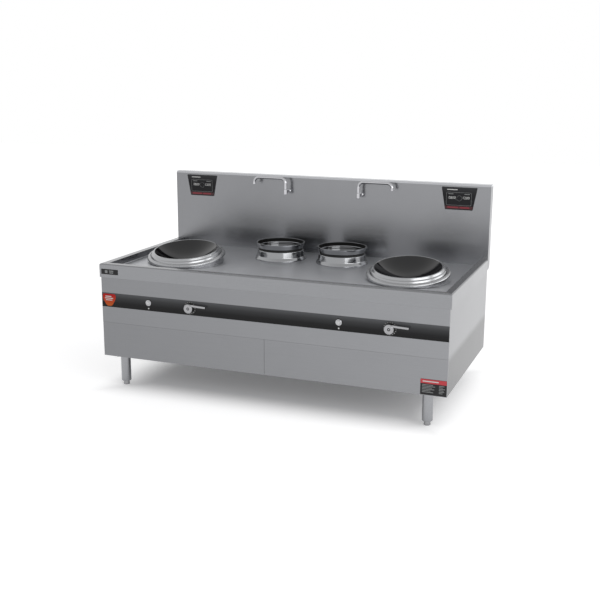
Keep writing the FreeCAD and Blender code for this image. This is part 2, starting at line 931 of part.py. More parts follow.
def lever(x):
    front = lever_back_y - lever_disc_thick
    disc = rod(x, front, band_middle, V(0, 1, 0), lever_disc, lever_disc_thick)
    disc = disc.cut(rod(x, front, band_middle, V(0, 1, 0), lever_socket, lever_socket_depth))
    root = lever_arm_rise
    tip = root - lever_arm_drop
    arm = rounded_polygon(
        [(0, root - lever_arm_width / 2), (lever_reach, tip - lever_tip_width / 2),
         (lever_reach, tip + lever_tip_width / 2), (0, root + lever_arm_width / 2)],
        lever_arm_round)
    arm = run_y(arm, 0, lever_arm_thick)
    arm_y = lever_back_y - lever_disc_thick / 2 - lever_arm_thick / 2
    arm = moved(arm, x, arm_y, band_middle)
    arm = arm.cut(rod(x, front, band_middle, V(0, 1, 0), lever_disc / 2, lever_disc_thick))
    shaft = rod(x, lever_back_y, band_middle, V(0, 1, 0), lever_shaft, lever_shaft_length)
    return disc.fuse(arm).fuse(shaft).removeSplitter()


# Display panels

def display_panel(side):
    top = display_top_width / 2
    bottom = display_bottom_width / 2
    low = display_top - display_height
    plate = rounded_polygon([(-top, display_top), (-bottom, low), (bottom, low), (top, display_top)],
                            display_round)
    plate = run_y(plate, splash_y - display_thick, splash_y)
    return moved(plate, side * display_x, 0, 0)


def display_board(side):
    x = side * display_x
    z = display_top - display_height / 2
    half_width_here = display_window_width / 2 - join_gap
    half_height_here = display_window_height / 2 - join_gap
    return box(x - half_width_here, x + half_width_here, splash_y, splash_y + board_thick,
               z - half_height_here, z + half_height_here)


# Swing taps

def hexagon(radius):
    corners = []
    for i in range(6):
        angle = math.radians(60 * i)
        corners.append((radius * math.cos(angle), radius * math.sin(angle)))
    return polygon(corners)


def tap_body(side):
    x = side * tap_x
    body = rod(x, tap_axis_y, tap_body_bottom, V(0, 0, 1), tap_body_radius, tap_body_height)
    stub = rod(x, tap_axis_y, tap_stub_z, V(0, 1, 0), tap_stub_radius, tap_stand_off)
    flange = rod(x, splash_y - tap_flange_thick, tap_stub_z, V(0, 1, 0), tap_flange_radius, tap_flange_thick)
    shank = rod(x, splash_y, tap_stub_z, V(0, 1, 0), tap_shank_radius, tap_shank_length)
    nut = run_y(hexagon(tap_nut), splash_y + sheet, splash_y + sheet + tap_nut_thick)
    nut = moved(nut, x, 0, tap_stub_z)
    whole = body.fuse(stub).fuse(flange).fuse(shank).fuse(nut).removeSplitter()
    socket = rod(x, tap_axis_y, tap_socket_z, V(0, 0, 1), tap_tube_radius + run_fit, tap_socket_depth)
    return whole.cut(socket)


def tap_arm(side):
    path = [V(0, tap_socket_z, 0), V(0, tap_arm_height, 0), V(tap_reach, tap_arm_height, 0),
            V(tap_reach, tap_arm_height - tap_spout_drop, 0)]
    wire = Part.Wire(rounded_edges(path, [tap_bend, tap_bend]))
    wire.rotate(V(0, 0, 0), V(1, 0, 0), 90)
    outer = pipe_along(wire, tap_tube_radius)
    aerator = rod(tap_reach, 0, tap_arm_height - tap_spout_drop, V(0, 0, 1), aerator_radius, aerator_height)
    arm = outer.fuse(aerator).removeSplitter()
    arm = arm.cut(pipe_along(wire, tap_tube_radius - tap_tube_wall))
    if side < 0:
        arm = mirrored(arm)
    return moved(arm, side * tap_x, tap_axis_y, 0)


# Solid pipe along a wire that starts upwards at the z axis.
def pipe_along(wire, radius):
    circle = Part.Wire([Part.makeCircle(radius, V(0, 0, tap_socket_z), V(0, 0, 1))])
    return wire.makePipeShell([circle], True, False)


# The tee that brings water up from the inlet and forward to both taps.
def pipe_run(radius):
    inlet_end = deck_top - pipe_collar_thick - pipe_inlet_length
    reach_y = splash_y + tap_shank_length
    run = rod(0, pipe_y, inlet_end, V(0, 0, 1), radius, tap_stub_z - inlet_end)
    run = run.fuse(rod(-tap_x, pipe_y, tap_stub_z, V(1, 0, 0), radius, 2 * tap_x))
    for side in (-1, 1):
        run = run.fuse(Part.makeSphere(radius, V(side * tap_x, pipe_y, tap_stub_z)))
        run = run.fuse(rod(side * tap_x, reach_y, tap_stub_z, V(0, 1, 0), radius, pipe_y - reach_y))
    return run


def water_pipe():
    collar = rod(0, pipe_y, deck_top - pipe_collar_thick, V(0, 0, 1), pipe_collar, pipe_collar_thick)
    return pipe_run(pipe_radius).fuse(collar).removeSplitter().cut(pipe_run(pipe_radius - pipe_wall))


# Power modules, fans

def power_module(x, y, across, deep, has_fan):
    top = module_bottom + module_height
    shell = box(x - across / 2, x + across / 2, y - deep / 2, y + deep / 2, module_bottom, top)
    shell = shell.cut(box(x - across / 2 + sheet, x + across / 2 - sheet, y - deep / 2 + sheet,
                          y + deep / 2 - sheet, module_bottom + sheet, top - sheet))
    for i in (-1, 1):
        for j in (-1, 1):
            foot_x = x + i * (across / 2 - stand_off_inset)
            foot_y = y + j * (deep / 2 - stand_off_inset)
            shell = shell.fuse(rod(foot_x, foot_y, frame_bottom, V(0, 0, 1), stand_off_radius,
                                   module_bottom - frame_bottom))
    if has_fan:
        intake = shroud_radius - shroud_wall
        shell = shell.cut(rod(x, y, module_bottom, V(0, 0, 1), intake, sheet))
        shroud = ring(intake, shroud_radius, module_bottom - shroud_length, module_bottom)
        shell = shell.fuse(moved(shroud, x, y, 0))
        for across_bar in (True, False):
            half_x = intake + shroud_wall / 2 if across_bar else spider_width / 2
            half_y = spider_width / 2 if across_bar else intake + shroud_wall / 2
            shell = shell.fuse(box(x - half_x, x + half_x, y - half_y, y + half_y,
                                   module_bottom, module_bottom + sheet))
        pin_length = fan_gap + fan_hub_height
        shell = shell.fuse(rod(x, y, module_bottom - pin_length, V(0, 0, 1), fan_pin, pin_length))
    return shell.removeSplitter()


def power_modules():
    pieces = []
    for side in (-1, 1):
        pieces.append(power_module(side * wok_x, module_y, module_width, module_depth, True))
        pieces.append(power_module(side * tail_module_x, tail_module_y, tail_module_width,
                                   tail_module_depth, False))
    return Part.makeCompound(pieces)


def fan(side):
    top = module_bottom - fan_gap
    bottom = top - fan_hub_height
    tip = shroud_radius - shroud_wall - fan_tip_gap
    rotor = rod(0, 0, bottom, V(0, 0, 1), fan_hub, fan_hub_height)
    rim = rod(0, 0, bottom, V(0, 0, 1), tip, fan_hub_height)
    for i in range(fan_blades):
        blade = box(fan_hub - fan_blade_thick, tip + fan_blade_thick, -fan_blade_chord / 2,
                    fan_blade_chord / 2, -fan_blade_thick / 2, fan_blade_thick / 2)
        blade.rotate(V(0, 0, 0), V(1, 0, 0), fan_blade_pitch)
        blade.translate(V(0, 0, (top + bottom) / 2))
        blade.rotate(V(0, 0, 0), V(0, 0, 1), 360 / fan_blades * i)
        rotor = rotor.fuse(blade.common(rim))
    rotor = rotor.removeSplitter().cut(rod(0, 0, bottom, V(0, 0, 1), fan_pin + run_fit, fan_hub_height))
    return moved(rotor, side * wok_x, module_y, 0)


# Mains connection

def terminal_box():
    x0 = terminal_x - terminal_width / 2
    z0 = terminal_z - terminal_height / 2
    shell = box(x0, x0 + terminal_width, frame_back_y - terminal_depth, frame_back_y,
                z0, z0 + terminal_height)
    shell = shell.cut(box(x0 + sheet, x0 + terminal_width - sheet, frame_back_y - terminal_depth + sheet,
                          frame_back_y - sheet, z0 + sheet, z0 + terminal_height - sheet))
    return shell.cut(rod(terminal_x, frame_back_y - sheet, terminal_z, V(0, 1, 0),
                         gland_thread + hole_fit, sheet))


def cable_gland():
    thread = rod(terminal_x, frame_back_y - sheet - gland_in, terminal_z, V(0, 1, 0), gland_thread,
                 gland_in + 2 * sheet + gland_out)
    collar = run_y(hexagon(gland_collar), body_back_y, body_back_y + gland_out / 2)
    collar = moved(collar, terminal_x, 0, terminal_z)
    body = thread.fuse(collar).removeSplitter()
    return body.cut(rod(terminal_x, frame_back_y - far / 2, terminal_z, V(0, 1, 0), gland_bore, far))


# Screws and bolts

def screw(x, y, z):
    head = rod(x, y, z, V(0, 1, 0), screw_head, screw_head_thick)
    shank = rod(x, y - screw_shank_length, z, V(0, 1, 0), screw_shank, screw_shank_length)
    return head.fuse(shank).removeSplitter()


def panel_screw_places():
    places = []
    back_reach = frame_half - tube / 2
    cover_reach = half_width - sheet - join_gap - screw_edge
    cover_y = back_y - sheet - splash_cover_inset
    for i in range(screw_columns):
        share = 2 * i / (screw_columns - 1) - 1
        for z in (frame_bottom + tube / 2, deck_under - tube / 2):
            places.append((share * back_reach, body_back_y, z))
        for z in (deck_top + screw_edge, overall_height - panel_fold - screw_edge):
            places.append((share * cover_reach, cover_y, z))
    return places


def screws():
    pieces = [screw(*place) for place in panel_screw_places()]
    top = body_bottom - leg_plate_thick
    for name, x, y in leg_places():
        for bolt_x, bolt_y in bolt_places(x, y):
            head = moved(run_z(hexagon(bolt_head), top - bolt_head_thick, top), bolt_x, bolt_y, 0)
            shank = rod(bolt_x, bolt_y, top, V(0, 0, 1), bolt_radius, bolt_length)
            pieces.append(head.fuse(shank).removeSplitter())
    return Part.makeCompound(pieces)


def with_screw_holes(panel, thick):
    for x, y, z in panel_screw_places():
        panel = panel.cut(rod(x, y - thick, z, V(0, 1, 0), screw_shank + hole_fit, thick))
    return panel


# Plain label plates

def label_plates():
    x0 = -half_width + name_plate_inset
    z1 = rim_height - name_plate_drop
    name_plate = box(x0, x0 + name_plate_width, front_y - label_thick, front_y,
                     z1 - name_plate_height, z1)
    sticker_x = -body_half + sticker_inset + sticker_width / 2
    a = sticker_width / 2
    b = sticker_height / 2
    sticker = rounded_polygon([(-a, -b), (a, -b), (a, b), (-a, b)], sticker_round)
    sticker = moved(run_y(sticker, strip_y - label_thick, strip_y), sticker_x, 0, band_middle)
    x1 = body_half - rating_plate_inset
    z0 = body_bottom + rating_plate_inset
    rating = box(x1 - rating_plate_width, x1, face_y - label_thick, face_y, z0, z0 + rating_plate_height)
    return Part.makeCompound([name_plate, sticker, rating])


def pair(make):
    return {"left": mirrored(make()), "right": make()}


def build():
    nodes = {
        "deck_plate": deck_plate(),
        "rim_front": rim_front(),
        "backsplash_front": backsplash_front(),
        "backsplash_back": with_screw_holes(backsplash_back(), sheet),
        "fascia_panel": fascia_panel(),
        "control_strip": control_strip(),
        "back_panel": with_screw_holes(back_panel(), sheet),
        "base_panel": base_panel(),
        "frame_posts": with_screw_holes(frame_posts(), tube / 2),
        "frame_rails": with_screw_holes(frame_rails(), tube / 2),
        "frame_cross_rails": frame_cross_rails(),
        "wok_coils": Part.makeCompound([at_wok(wok_coil(), side) for side in (-1, 1)]),
        "tail_coils": Part.makeCompound([at_tail(tail_coil(), side) for side in (-1, 1)]),
        "coil_carriers": coil_carriers(),
        "seals": seals(),
        "button_housings": Part.makeCompound([button_housing(x) for x, side in button_places()]),
        "indicator_lights": Part.makeCompound([indicator_light(x) for x, side in button_places()]),
        "lever_switches": Part.makeCompound([lever_switch(x) for x, side in lever_places()]),
        "display_boards": Part.makeCompound([display_board(side) for side in (-1, 1)]),
        "water_pipe": water_pipe(),
        "power_modules": power_modules(),
        "terminal_box": terminal_box(),
        "cable_gland": cable_gland(),
        "legs": legs(),
        "screws": screws(),
        "label_plates": label_plates(),
    }
    for name, make in (("rim", rim_right), ("service_panel", service_panel_right),
                       ("side_panel", side_panel_right)):
        for side, shape in pair(make).items():
            nodes[name + "_" + side] = shape
    for side, word in ((-1, "left"), (1, "right")):
        nodes["wok_ring_" + word] = wok_ring(side)
        nodes["wok_trim_ring_" + word] = wok_trim_ring(side)
        nodes["wok_glass_" + word] = wok_glass(side)
        nodes["tail_collar_" + word] = at_tail(tail_collar(), side)
        nodes["tail_ring_" + word] = at_tail(tail_ring(), side)
        nodes["tail_glass_" + word] = at_tail(tail_glass(), side)
        nodes["display_panel_" + word] = display_panel(side)
        nodes["tap_body_" + word] = tap_body(side)
        nodes["tap_arm_" + word] = tap_arm(side)
        nodes["fan_" + word] = fan(side)
    for x, word in button_places():
        nodes["button_" + word] = button(x)
    for x, word in lever_places():
        nodes["lever_" + word] = lever(x)
    for word, x, y in leg_places():
        nodes["foot_" + word] = moved(foot(), x, y, 0)
    return nodes


os.makedirs("parts", exist_ok=True)
for name, shape in build().items():
    shape.exportStep("parts/" + name + ".step")
    print(name, len(shape.Solids), "solid(s)", round(shape.Volume / 1000), "cm3", shape.isValid())
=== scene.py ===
import bpy
import math
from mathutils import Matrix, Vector


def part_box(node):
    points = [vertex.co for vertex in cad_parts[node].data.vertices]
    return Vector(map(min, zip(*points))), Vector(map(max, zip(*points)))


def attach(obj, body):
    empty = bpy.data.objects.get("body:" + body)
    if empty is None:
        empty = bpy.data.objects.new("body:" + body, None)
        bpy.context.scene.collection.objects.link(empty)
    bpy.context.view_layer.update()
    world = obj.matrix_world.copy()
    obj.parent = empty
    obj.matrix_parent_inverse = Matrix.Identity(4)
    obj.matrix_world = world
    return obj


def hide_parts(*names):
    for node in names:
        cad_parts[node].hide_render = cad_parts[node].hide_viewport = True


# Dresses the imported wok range: modelled pieces, materials, studio and camera. Metres, +Z up, front is -Y.

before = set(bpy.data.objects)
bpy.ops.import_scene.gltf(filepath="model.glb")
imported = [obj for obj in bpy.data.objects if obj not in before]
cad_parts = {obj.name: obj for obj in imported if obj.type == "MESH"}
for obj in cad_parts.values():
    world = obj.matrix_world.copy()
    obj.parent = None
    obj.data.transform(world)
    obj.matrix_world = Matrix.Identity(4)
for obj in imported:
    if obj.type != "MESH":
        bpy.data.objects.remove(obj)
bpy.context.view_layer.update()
mainBody = "range_body"
mm = 0.001
near = 0.001    # metres within which two places count as the same
sides = (("left", -1), ("right", 1))
print("frame loaded,", len(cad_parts), "nodes")


# Selecting and finishing.

def startFresh():
    if bpy.context.object and bpy.context.object.mode != "OBJECT":
        bpy.ops.object.mode_set(mode="OBJECT")
    bpy.ops.object.select_all(action="DESELECT")


def makeActive(piece):
    startFresh()
    piece.select_set(True)
    bpy.context.view_layer.objects.active = piece


def applyPlace(piece):
    makeActive(piece)
    bpy.ops.object.transform_apply(location=True, rotation=True, scale=True)


def openEdit(piece, kind="FACE"):
    makeActive(piece)
    bpy.ops.object.mode_set(mode="EDIT")
    bpy.ops.mesh.select_mode(type=kind)


def closeEdit():
    bpy.ops.object.mode_set(mode="OBJECT")


def editAll(piece, kind="FACE"):
    openEdit(piece, kind)
    bpy.ops.mesh.select_all(action="SELECT")


def pickFaces(piece, wanted):
    openEdit(piece)
    bpy.ops.mesh.select_all(action="DESELECT")
    closeEdit()
    for face in piece.data.polygons:
        face.select = bool(wanted(face.center, face.normal))
    bpy.ops.object.mode_set(mode="EDIT")


def pickEdges(piece, wanted):
    openEdit(piece, "EDGE")
    bpy.ops.mesh.select_all(action="DESELECT")
    closeEdit()
    points = piece.data.vertices
    for edge in piece.data.edges:
        a, b = points[edge.vertices[0]].co, points[edge.vertices[1]].co
        edge.select = bool(wanted((a + b) / 2, (b - a).normalized()))
    bpy.ops.object.mode_set(mode="EDIT")


def addModifier(piece, kind, **values):
    makeActive(piece)
    modifier = piece.modifiers.new(kind.title(), kind)
    for key, value in values.items():
        setattr(modifier, key, value)
    bpy.ops.object.modifier_apply(modifier=modifier.name)


def softenEdges(piece, width, segments=2, angle=30):
    addModifier(piece, "BEVEL", width=width, segments=segments, limit_method="ANGLE",
                angle_limit=math.radians(angle), miter_outer="MITER_ARC")


def smoothShade(piece, angle=35):
    makeActive(piece)
    bpy.ops.object.shade_smooth_by_angle(angle=math.radians(angle))
    addModifier(piece, "WEIGHTED_NORMAL", keep_sharp=True, weight=80)


def facesOutward(piece):
    editAll(piece)
    bpy.ops.mesh.remove_doubles(threshold=0.000002)
    bpy.ops.mesh.normals_make_consistent(inside=False)
    closeEdit()


def setMaterial(piece, material):
    piece.data.materials.clear()
    piece.data.materials.append(material)


def finishPiece(piece, name, material, body=mainBody, replaced=(), angle=35):
    piece.name = name
    piece.data.name = name
    if material:
        setMaterial(piece, material)
    applyPlace(piece)
    smoothShade(piece, angle)
    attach(piece, body)
    if replaced:
        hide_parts(*replaced)


def bevelEdges(piece, wanted, radius, segments):
    pickEdges(piece, wanted)
    bpy.ops.mesh.bevel(offset=radius, segments=segments, affect="EDGES")
    closeEdit()


# Rounds the corners of a block that run along one axis.
def roundCorners(piece, axis, radius, segments):
    index = "xyz".index(axis)
    bevelEdges(piece, lambda middle, way: abs(way[index]) > 0.9, radius, segments)


def deleteFaces(piece, wanted):
    pickFaces(piece, wanted)
    bpy.ops.mesh.delete(type="FACE")
    closeEdit()


def joinPieces(pieces):
    makeActive(pieces[0])
    for piece in pieces:
        piece.select_set(True)
    bpy.ops.object.join()
    return bpy.context.object


def copyPiece(piece):
    twin = piece.copy()
    twin.data = piece.data.copy()
    bpy.context.scene.collection.objects.link(twin)
    return twin


# Basic modelling moves.

def addShape(operator, **values):
    startFresh()
    operator(**values)
    piece = bpy.context.object
    applyPlace(piece)
    return piece


def addBlock(low, high):
    middle = [(a + b) / 2 for a, b in zip(low, high)]
    size = [b - a for a, b in zip(low, high)]
    return addShape(bpy.ops.mesh.primitive_cube_add, size=1, location=middle, scale=size)


# A hexagon head or nut with chamfered corners, its axis tipped about x.
def addHexagon(radius, thick, middle, tip=0.0):
    piece = addShape(bpy.ops.mesh.primitive_cylinder_add, vertices=6, radius=radius, depth=thick,
                     location=middle, rotation=(tip, 0, 0))
    softenEdges(piece, 0.0006, 2, 40)
    return piece


# A section of (radius, height) or (radius, height, corner radius) in millimetres, with its corners rounded.
def roundSection(section, steps=6):
    points = [Vector(corner[:2]) for corner in section]
    rounded = [points[0]]
    for index in range(1, len(points) - 1):
        corner = section[index]
        if len(corner) == 2:
            rounded.append(points[index])
            continue
        back = (points[index - 1] - points[index]).normalized()
        ahead = (points[index + 1] - points[index]).normalized()
        half = back.angle(ahead) / 2
        centre = points[index] + (back + ahead).normalized() * corner[2] / math.sin(half)
        start = points[index] + back * corner[2] / math.tan(half) - centre
        end = points[index] + ahead * corner[2] / math.tan(half) - centre
        first = math.atan2(start.y, start.x)
        sweep = (math.atan2(end.y, end.x) - first + math.pi) % (2 * math.pi) - math.pi
        for step in range(steps + 1):
            angle = first + sweep * step / steps
            rounded.append(centre + Vector((math.cos(angle), math.sin(angle))) * corner[2])
    rounded.append(points[-1])
    return rounded


def extrudeBy(x, z):
    bpy.ops.mesh.extrude_region_move(TRANSFORM_OT_translate={"value": (x, 0, z)})


# Turns a section about the z axis: a circle is extruded and resized from point to point.
def turnSection(section, around=96, steps=6, capStart=False):
    points = roundSection(section, steps)
    piece = addShape(bpy.ops.mesh.primitive_circle_add, vertices=around, radius=points[0].x * mm,
                     location=(0, 0, points[0].y * mm), fill_type="TRIFAN" if capStart else "NOTHING")
    openEdit(piece, "EDGE")
    bpy.ops.mesh.select_all(action="DESELECT")
    bpy.ops.mesh.select_non_manifold(extend=False, use_wire=True, use_boundary=True,
                                     use_multi_face=False, use_non_contiguous=False, use_verts=False)
    for at, following in zip(points, points[1:]):
        extrudeBy(0, (following.y - at.y) * mm)
        grow = following.x / at.x
        bpy.ops.transform.resize(value=(grow, grow, 1), center_override=(0, 0, 0))
    closeEdit()
    facesOutward(piece)
    return piece


def turnPiece(piece, axis, degrees):
    editAll(piece)
    bpy.ops.transform.rotate(value=-math.radians(degrees), orient_axis=axis, center_override=(0, 0, 0))
    closeEdit()


def movePiece(piece, x, y, z):
    editAll(piece)
    bpy.ops.transform.translate(value=(x, y, z))
    closeEdit()


# Material building.

# Sets a node's inputs, each to a value or from another node's output.
def feedNode(tree, node, inputs):
    for key, value in inputs.items():
        if isinstance(value, bpy.types.NodeSocket):
            tree.links.new(value, node.inputs[key])
        else:
            node.inputs[key].default_value = value


def newMaterial(name, colour, metallic=0.0, roughness=0.5, **sockets):
    material = bpy.data.materials.new(name)
    material.use_nodes = True
    tree = material.node_tree
    shader = tree.nodes["Principled BSDF"]
    sockets.update({"Base Color": (*colour, 1), "Metallic": metallic, "Roughness": roughness})
    feedNode(tree, shader, sockets)
    return material, tree, shader


def addNode(tree, kind, inputs=None, **values):
    node = tree.nodes.new(kind)
    for key, value in values.items():
        setattr(node, key, value)
    feedNode(tree, node, inputs or {})
    return node


def objectPoint(tree, scale=(1, 1, 1), centre=(0, 0, 0), turn=(0, 0, 0)):
    point = addNode(tree, "ShaderNodeTexCoord").outputs["Object"]
    placed = addNode(tree, "ShaderNodeMapping", {"Vector": point, "Location": centre, "Rotation": turn},
                     vector_type="TEXTURE")
    stretched = addNode(tree, "ShaderNodeMapping", {"Vector": placed.outputs["Vector"], "Scale": scale})
    return stretched.outputs["Vector"]


def splitAxes(tree, vector):
    return addNode(tree, "ShaderNodeSeparateXYZ", {"Vector": vector}).outputs


def noiseAt(tree, vector, scale, detail=2.0, roughness=0.5):
    inputs = {"Vector": vector, "Scale": scale, "Detail": detail, "Roughness": roughness}
    return addNode(tree, "ShaderNodeTexNoise", inputs).outputs["Fac"]


def remap(tree, source, fromLow, fromHigh, low, high, smooth=False):
    inputs = {"Value": source, "From Min": fromLow, "From Max": fromHigh, "To Min": low, "To Max": high}
    kind = "SMOOTHSTEP" if smooth else "LINEAR"
    return addNode(tree, "ShaderNodeMapRange", inputs, interpolation_type=kind).outputs["Result"]


def maths(tree, operation, first, second):
    return addNode(tree, "ShaderNodeMath", {0: first, 1: second}, operation=operation).outputs["Value"]


def vectorMaths(tree, operation, *inputs, output="Vector"):
    node = addNode(tree, "ShaderNodeVectorMath", dict(enumerate(inputs)), operation=operation)
    return node.outputs[output]


def scaledColour(tree, colour, factor):
    inputs = {0: colour, "Scale": factor}
    return addNode(tree, "ShaderNodeVectorMath", inputs, operation="SCALE").outputs["Vector"]


def addBump(tree, height, distance, strength=1.0, under=None):
    inputs = {"Height": height, "Distance": distance, "Strength": strength}
    if under:
        inputs["Normal"] = under
    return addNode(tree, "ShaderNodeBump", inputs).outputs["Normal"]


# Materials.

steelFinish = {
    "colour": (0.272, 0.276, 0.287),
    "grainLength": 5.0,        # scratches per metre along the brushing
    "grainWidth": 1500.0,      # and across it
    "waveScale": 2.3,          # slow dents of a large sheet
    "waveDepth": 0.0003,
    "smudgeScale": 5.0,
    # halfWidth: the half width over which painted light makes a sheet lighter towards +x.
    "halfWidth": 1.1,          # of the range, over which a sheet gets lighter sideways
}


# Brushed steel with grain and smudges. It can also carry painted shade below a given height and painted light
# growing towards +x.
def brushedSteel(name, along, roughness=0.3, tone=1.0, spread=0.06, waved=True, anisotropy=0.55,
                 paintedShadeBelow=1.0, split=0.407, splitSoft=0.012, paintedSideLight=0.0):
    finish = steelFinish
    material, tree, shader = newMaterial(name, finish["colour"], 1.0, roughness, Anisotropic=anisotropy)
    stretch = [finish["grainLength"] if axis == along else finish["grainWidth"] for axis in "xyz"]
    point = objectPoint(tree)
    grain = noiseAt(tree, objectPoint(tree, stretch), 1.0, 3.0, 0.6)
    smudge = noiseAt(tree, point, finish["smudgeScale"], 4.0, 0.55)
    axes = splitAxes(tree, point)
    shade = remap(tree, grain, 0.25, 0.75, tone * (1 - spread), tone * (1 + spread))
    # Painted shade: below the split height the colour is scaled by the lower factor, so the lower part of a
    # sheet reads darker, as the shaded floor near the range would look in it.
    height = remap(tree, axes["Z"], split - splitSoft, split + splitSoft, paintedShadeBelow, 1.0, True)
    # Painted light: the colour grows from one side of the range to the other, lighter towards +x where the
    # lamps stand.
    across = remap(tree, axes["X"], -finish["halfWidth"], finish["halfWidth"], 1 - paintedSideLight, 1 + paintedSideLight)
    shade = maths(tree, "MULTIPLY", maths(tree, "MULTIPLY", shade, height), across)
    rough = maths(tree, "ADD", remap(tree, grain, 0.3, 0.7, roughness * 0.88, roughness * 1.08),
                  remap(tree, smudge, 0.45, 0.75, 0.0, roughness * 0.12))
    dents = None
    if waved:
        dents = addBump(tree, noiseAt(tree, point, finish["waveScale"], 1.0, 0.4), finish["waveDepth"])
    tangent = addNode(tree, "ShaderNodeTangent", direction_type="RADIAL", axis=along.upper())
    feedNode(tree, shader, {
        "Base Color": scaledColour(tree, finish["colour"], shade),
        "Roughness": rough,
        "Normal": addBump(tree, grain, 0.00003, 0.2, dents),
        "Tangent": tangent.outputs["Tangent"],
    })
    return material


# Spun or polished steel with fine rings about its own axis, and brushed along them.
def turnedSteel(name, colour, centre, tilt=0.0, roughness=0.2, spread=0.05, pitch=900.0, anisotropy=0.45):
    material, tree, shader = newMaterial(name, colour, 1.0, roughness, Anisotropic=anisotropy)
    angle = math.radians(tilt)
    local = objectPoint(tree, centre=centre, turn=(angle, 0, 0))
    radius = vectorMaths(tree, "LENGTH", vectorMaths(tree, "MULTIPLY", local, (1, 1, 0)), output="Value")
    travel = maths(tree, "ADD", radius, splitAxes(tree, local)["Z"])
    turns = {"W": maths(tree, "MULTIPLY", travel, pitch), "Scale": 1.0, "Detail": 2.0}
    rings = addNode(tree, "ShaderNodeTexNoise", turns, noise_dimensions="1D").outputs["Fac"]
    smudge = noiseAt(tree, local, 14.0, 4.0, 0.6)
    shade = remap(tree, rings, 0.3, 0.7, 1 - spread, 1 + spread)
    rough = maths(tree, "ADD", remap(tree, rings, 0.3, 0.7, roughness * 0.8, roughness * 1.2),
                  remap(tree, smudge, 0.45, 0.8, 0.0, 0.06))
    point = addNode(tree, "ShaderNodeTexCoord").outputs["Object"]
    offset = vectorMaths(tree, "SUBTRACT", point, centre)
    around = vectorMaths(tree, "CROSS_PRODUCT", (0, -math.sin(angle), math.cos(angle)), offset)
    feedNode(tree, shader, {
        "Base Color": scaledColour(tree, colour, shade),
        "Roughness": rough,
        "Normal": addBump(tree, rings, 0.00002, 0.5),
        "Tangent": vectorMaths(tree, "NORMALIZE", around),
    })
    return material


# Painted, moulded or coated surface with a fine texture and slight unevenness.
def coatedSurface(name, colour, roughness, metallic=0.0, grainScale=400.0, grainDepth=0.00003, spread=0.08,
                  patchScale=9.0, **sockets):
    material, tree, shader = newMaterial(name, colour, metallic, roughness, **sockets)
    fine = noiseAt(tree, objectPoint(tree), grainScale, 3.0, 0.6)
    patches = noiseAt(tree, objectPoint(tree), patchScale, 4.0, 0.6)
    shade = remap(tree, patches, 0.3, 0.7, 1 - spread, 1 + spread)
    rough = maths(tree, "ADD", remap(tree, fine, 0.3, 0.7, roughness * 0.9, roughness * 1.1),
                  remap(tree, patches, 0.4, 0.8, 0.0, roughness * 0.3))
    feedNode(tree, shader, {
        "Base Color": scaledColour(tree, colour, shade),
        "Roughness": rough,
        "Normal": addBump(tree, fine, grainDepth, 0.6),
    })
    return material


# Black glass. A bowl's near side is made duller than its far side by a painted reflection, a ramp of the
# specular level: way points across the bowl, and the last argument holds where the shine starts and is full,
# and the least and most of it.
def blackGlass(name, centre=(0, 0, 0), tilt=0.0, way=None, gloss=None):
    material, tree, shader = newMaterial(name, (0.004, 0.004, 0.005), 0.0, 0.05)
    patches = noiseAt(tree, objectPoint(tree), 9.0, 4.0, 0.6)
    feedNode(tree, shader, {"Roughness": remap(tree, patches, 0.3, 0.8, 0.04, 0.08)})
    if gloss:
        local = objectPoint(tree, centre=centre, turn=(math.radians(tilt), 0, 0))
        across = vectorMaths(tree, "DOT_PRODUCT", local, way, output="Value")
        feedNode(tree, shader, {"Specular IOR Level": remap(tree, across, *gloss, True)})
    return material


# Gloss film with its colours spread evenly from a low level to a high one.
def shadedFilm(name, low, high, colours, roughness=0.16):
    material, tree, shader = newMaterial(name, colours[0], 0.0, roughness, **{"Specular IOR Level": 0.2})
    level = remap(tree, splitAxes(tree, objectPoint(tree))["Z"], low, high, 0.0, 1.0)
    ramp = addNode(tree, "ShaderNodeValToRGB", {"Fac": level})
    stops = ramp.color_ramp.elements
    stops[0].color = (*colours[0], 1)
    stops[1].color = (*colours[-1], 1)
    for index, colour in enumerate(colours[1:-1], 1):
        stops.new(index / (len(colours) - 1)).color = (*colour, 1)
    smudge = noiseAt(tree, objectPoint(tree), 18.0, 4.0, 0.6)
    rough = remap(tree, smudge, 0.35, 0.75, roughness * 0.8, roughness * 1.7)
    feedNode(tree, shader, {"Base Color": ramp.outputs["Color"], "Roughness": rough})
    return material


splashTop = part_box("backsplash_front")[1].z
# Painted shade: the front panels (slightly) and the side panels (strongly) are darker below 0.407 m, standing
# in for the darker floor they would reflect there.
panelSteel = brushedSteel("panelSteel", "x", 0.33, paintedShadeBelow=0.96, paintedSideLight=0.09)
# Painted highlight: the backsplash colour is lifted 2.3 times and scaled by 0.42 below a band 11 mm under its
# top, which leaves a bright line along the top edge. It also gets painted light towards +x.
splashSteel = brushedSteel("splashSteel", "x", 0.24, tone=2.3, paintedShadeBelow=0.42, split=splashTop - 0.011,
                           splitSoft=0.002, paintedSideLight=0.07)
# Painted shade: the side panels' steel is toned down to 0.84 to damp the lamps' reflections on that side.
sideSteel = brushedSteel("sideSteel", "y", 0.22, tone=0.84, paintedShadeBelow=0.27, splitSoft=0.03)
rimSteel = brushedSteel("rimSteel", "x", 0.26, tone=1.03, waved=False)
# Painted shade: the side rims' steel is toned down to 0.9 for the same reason.
sideRimSteel = brushedSteel("sideRimSteel", "y", 0.22, tone=0.9, waved=False)
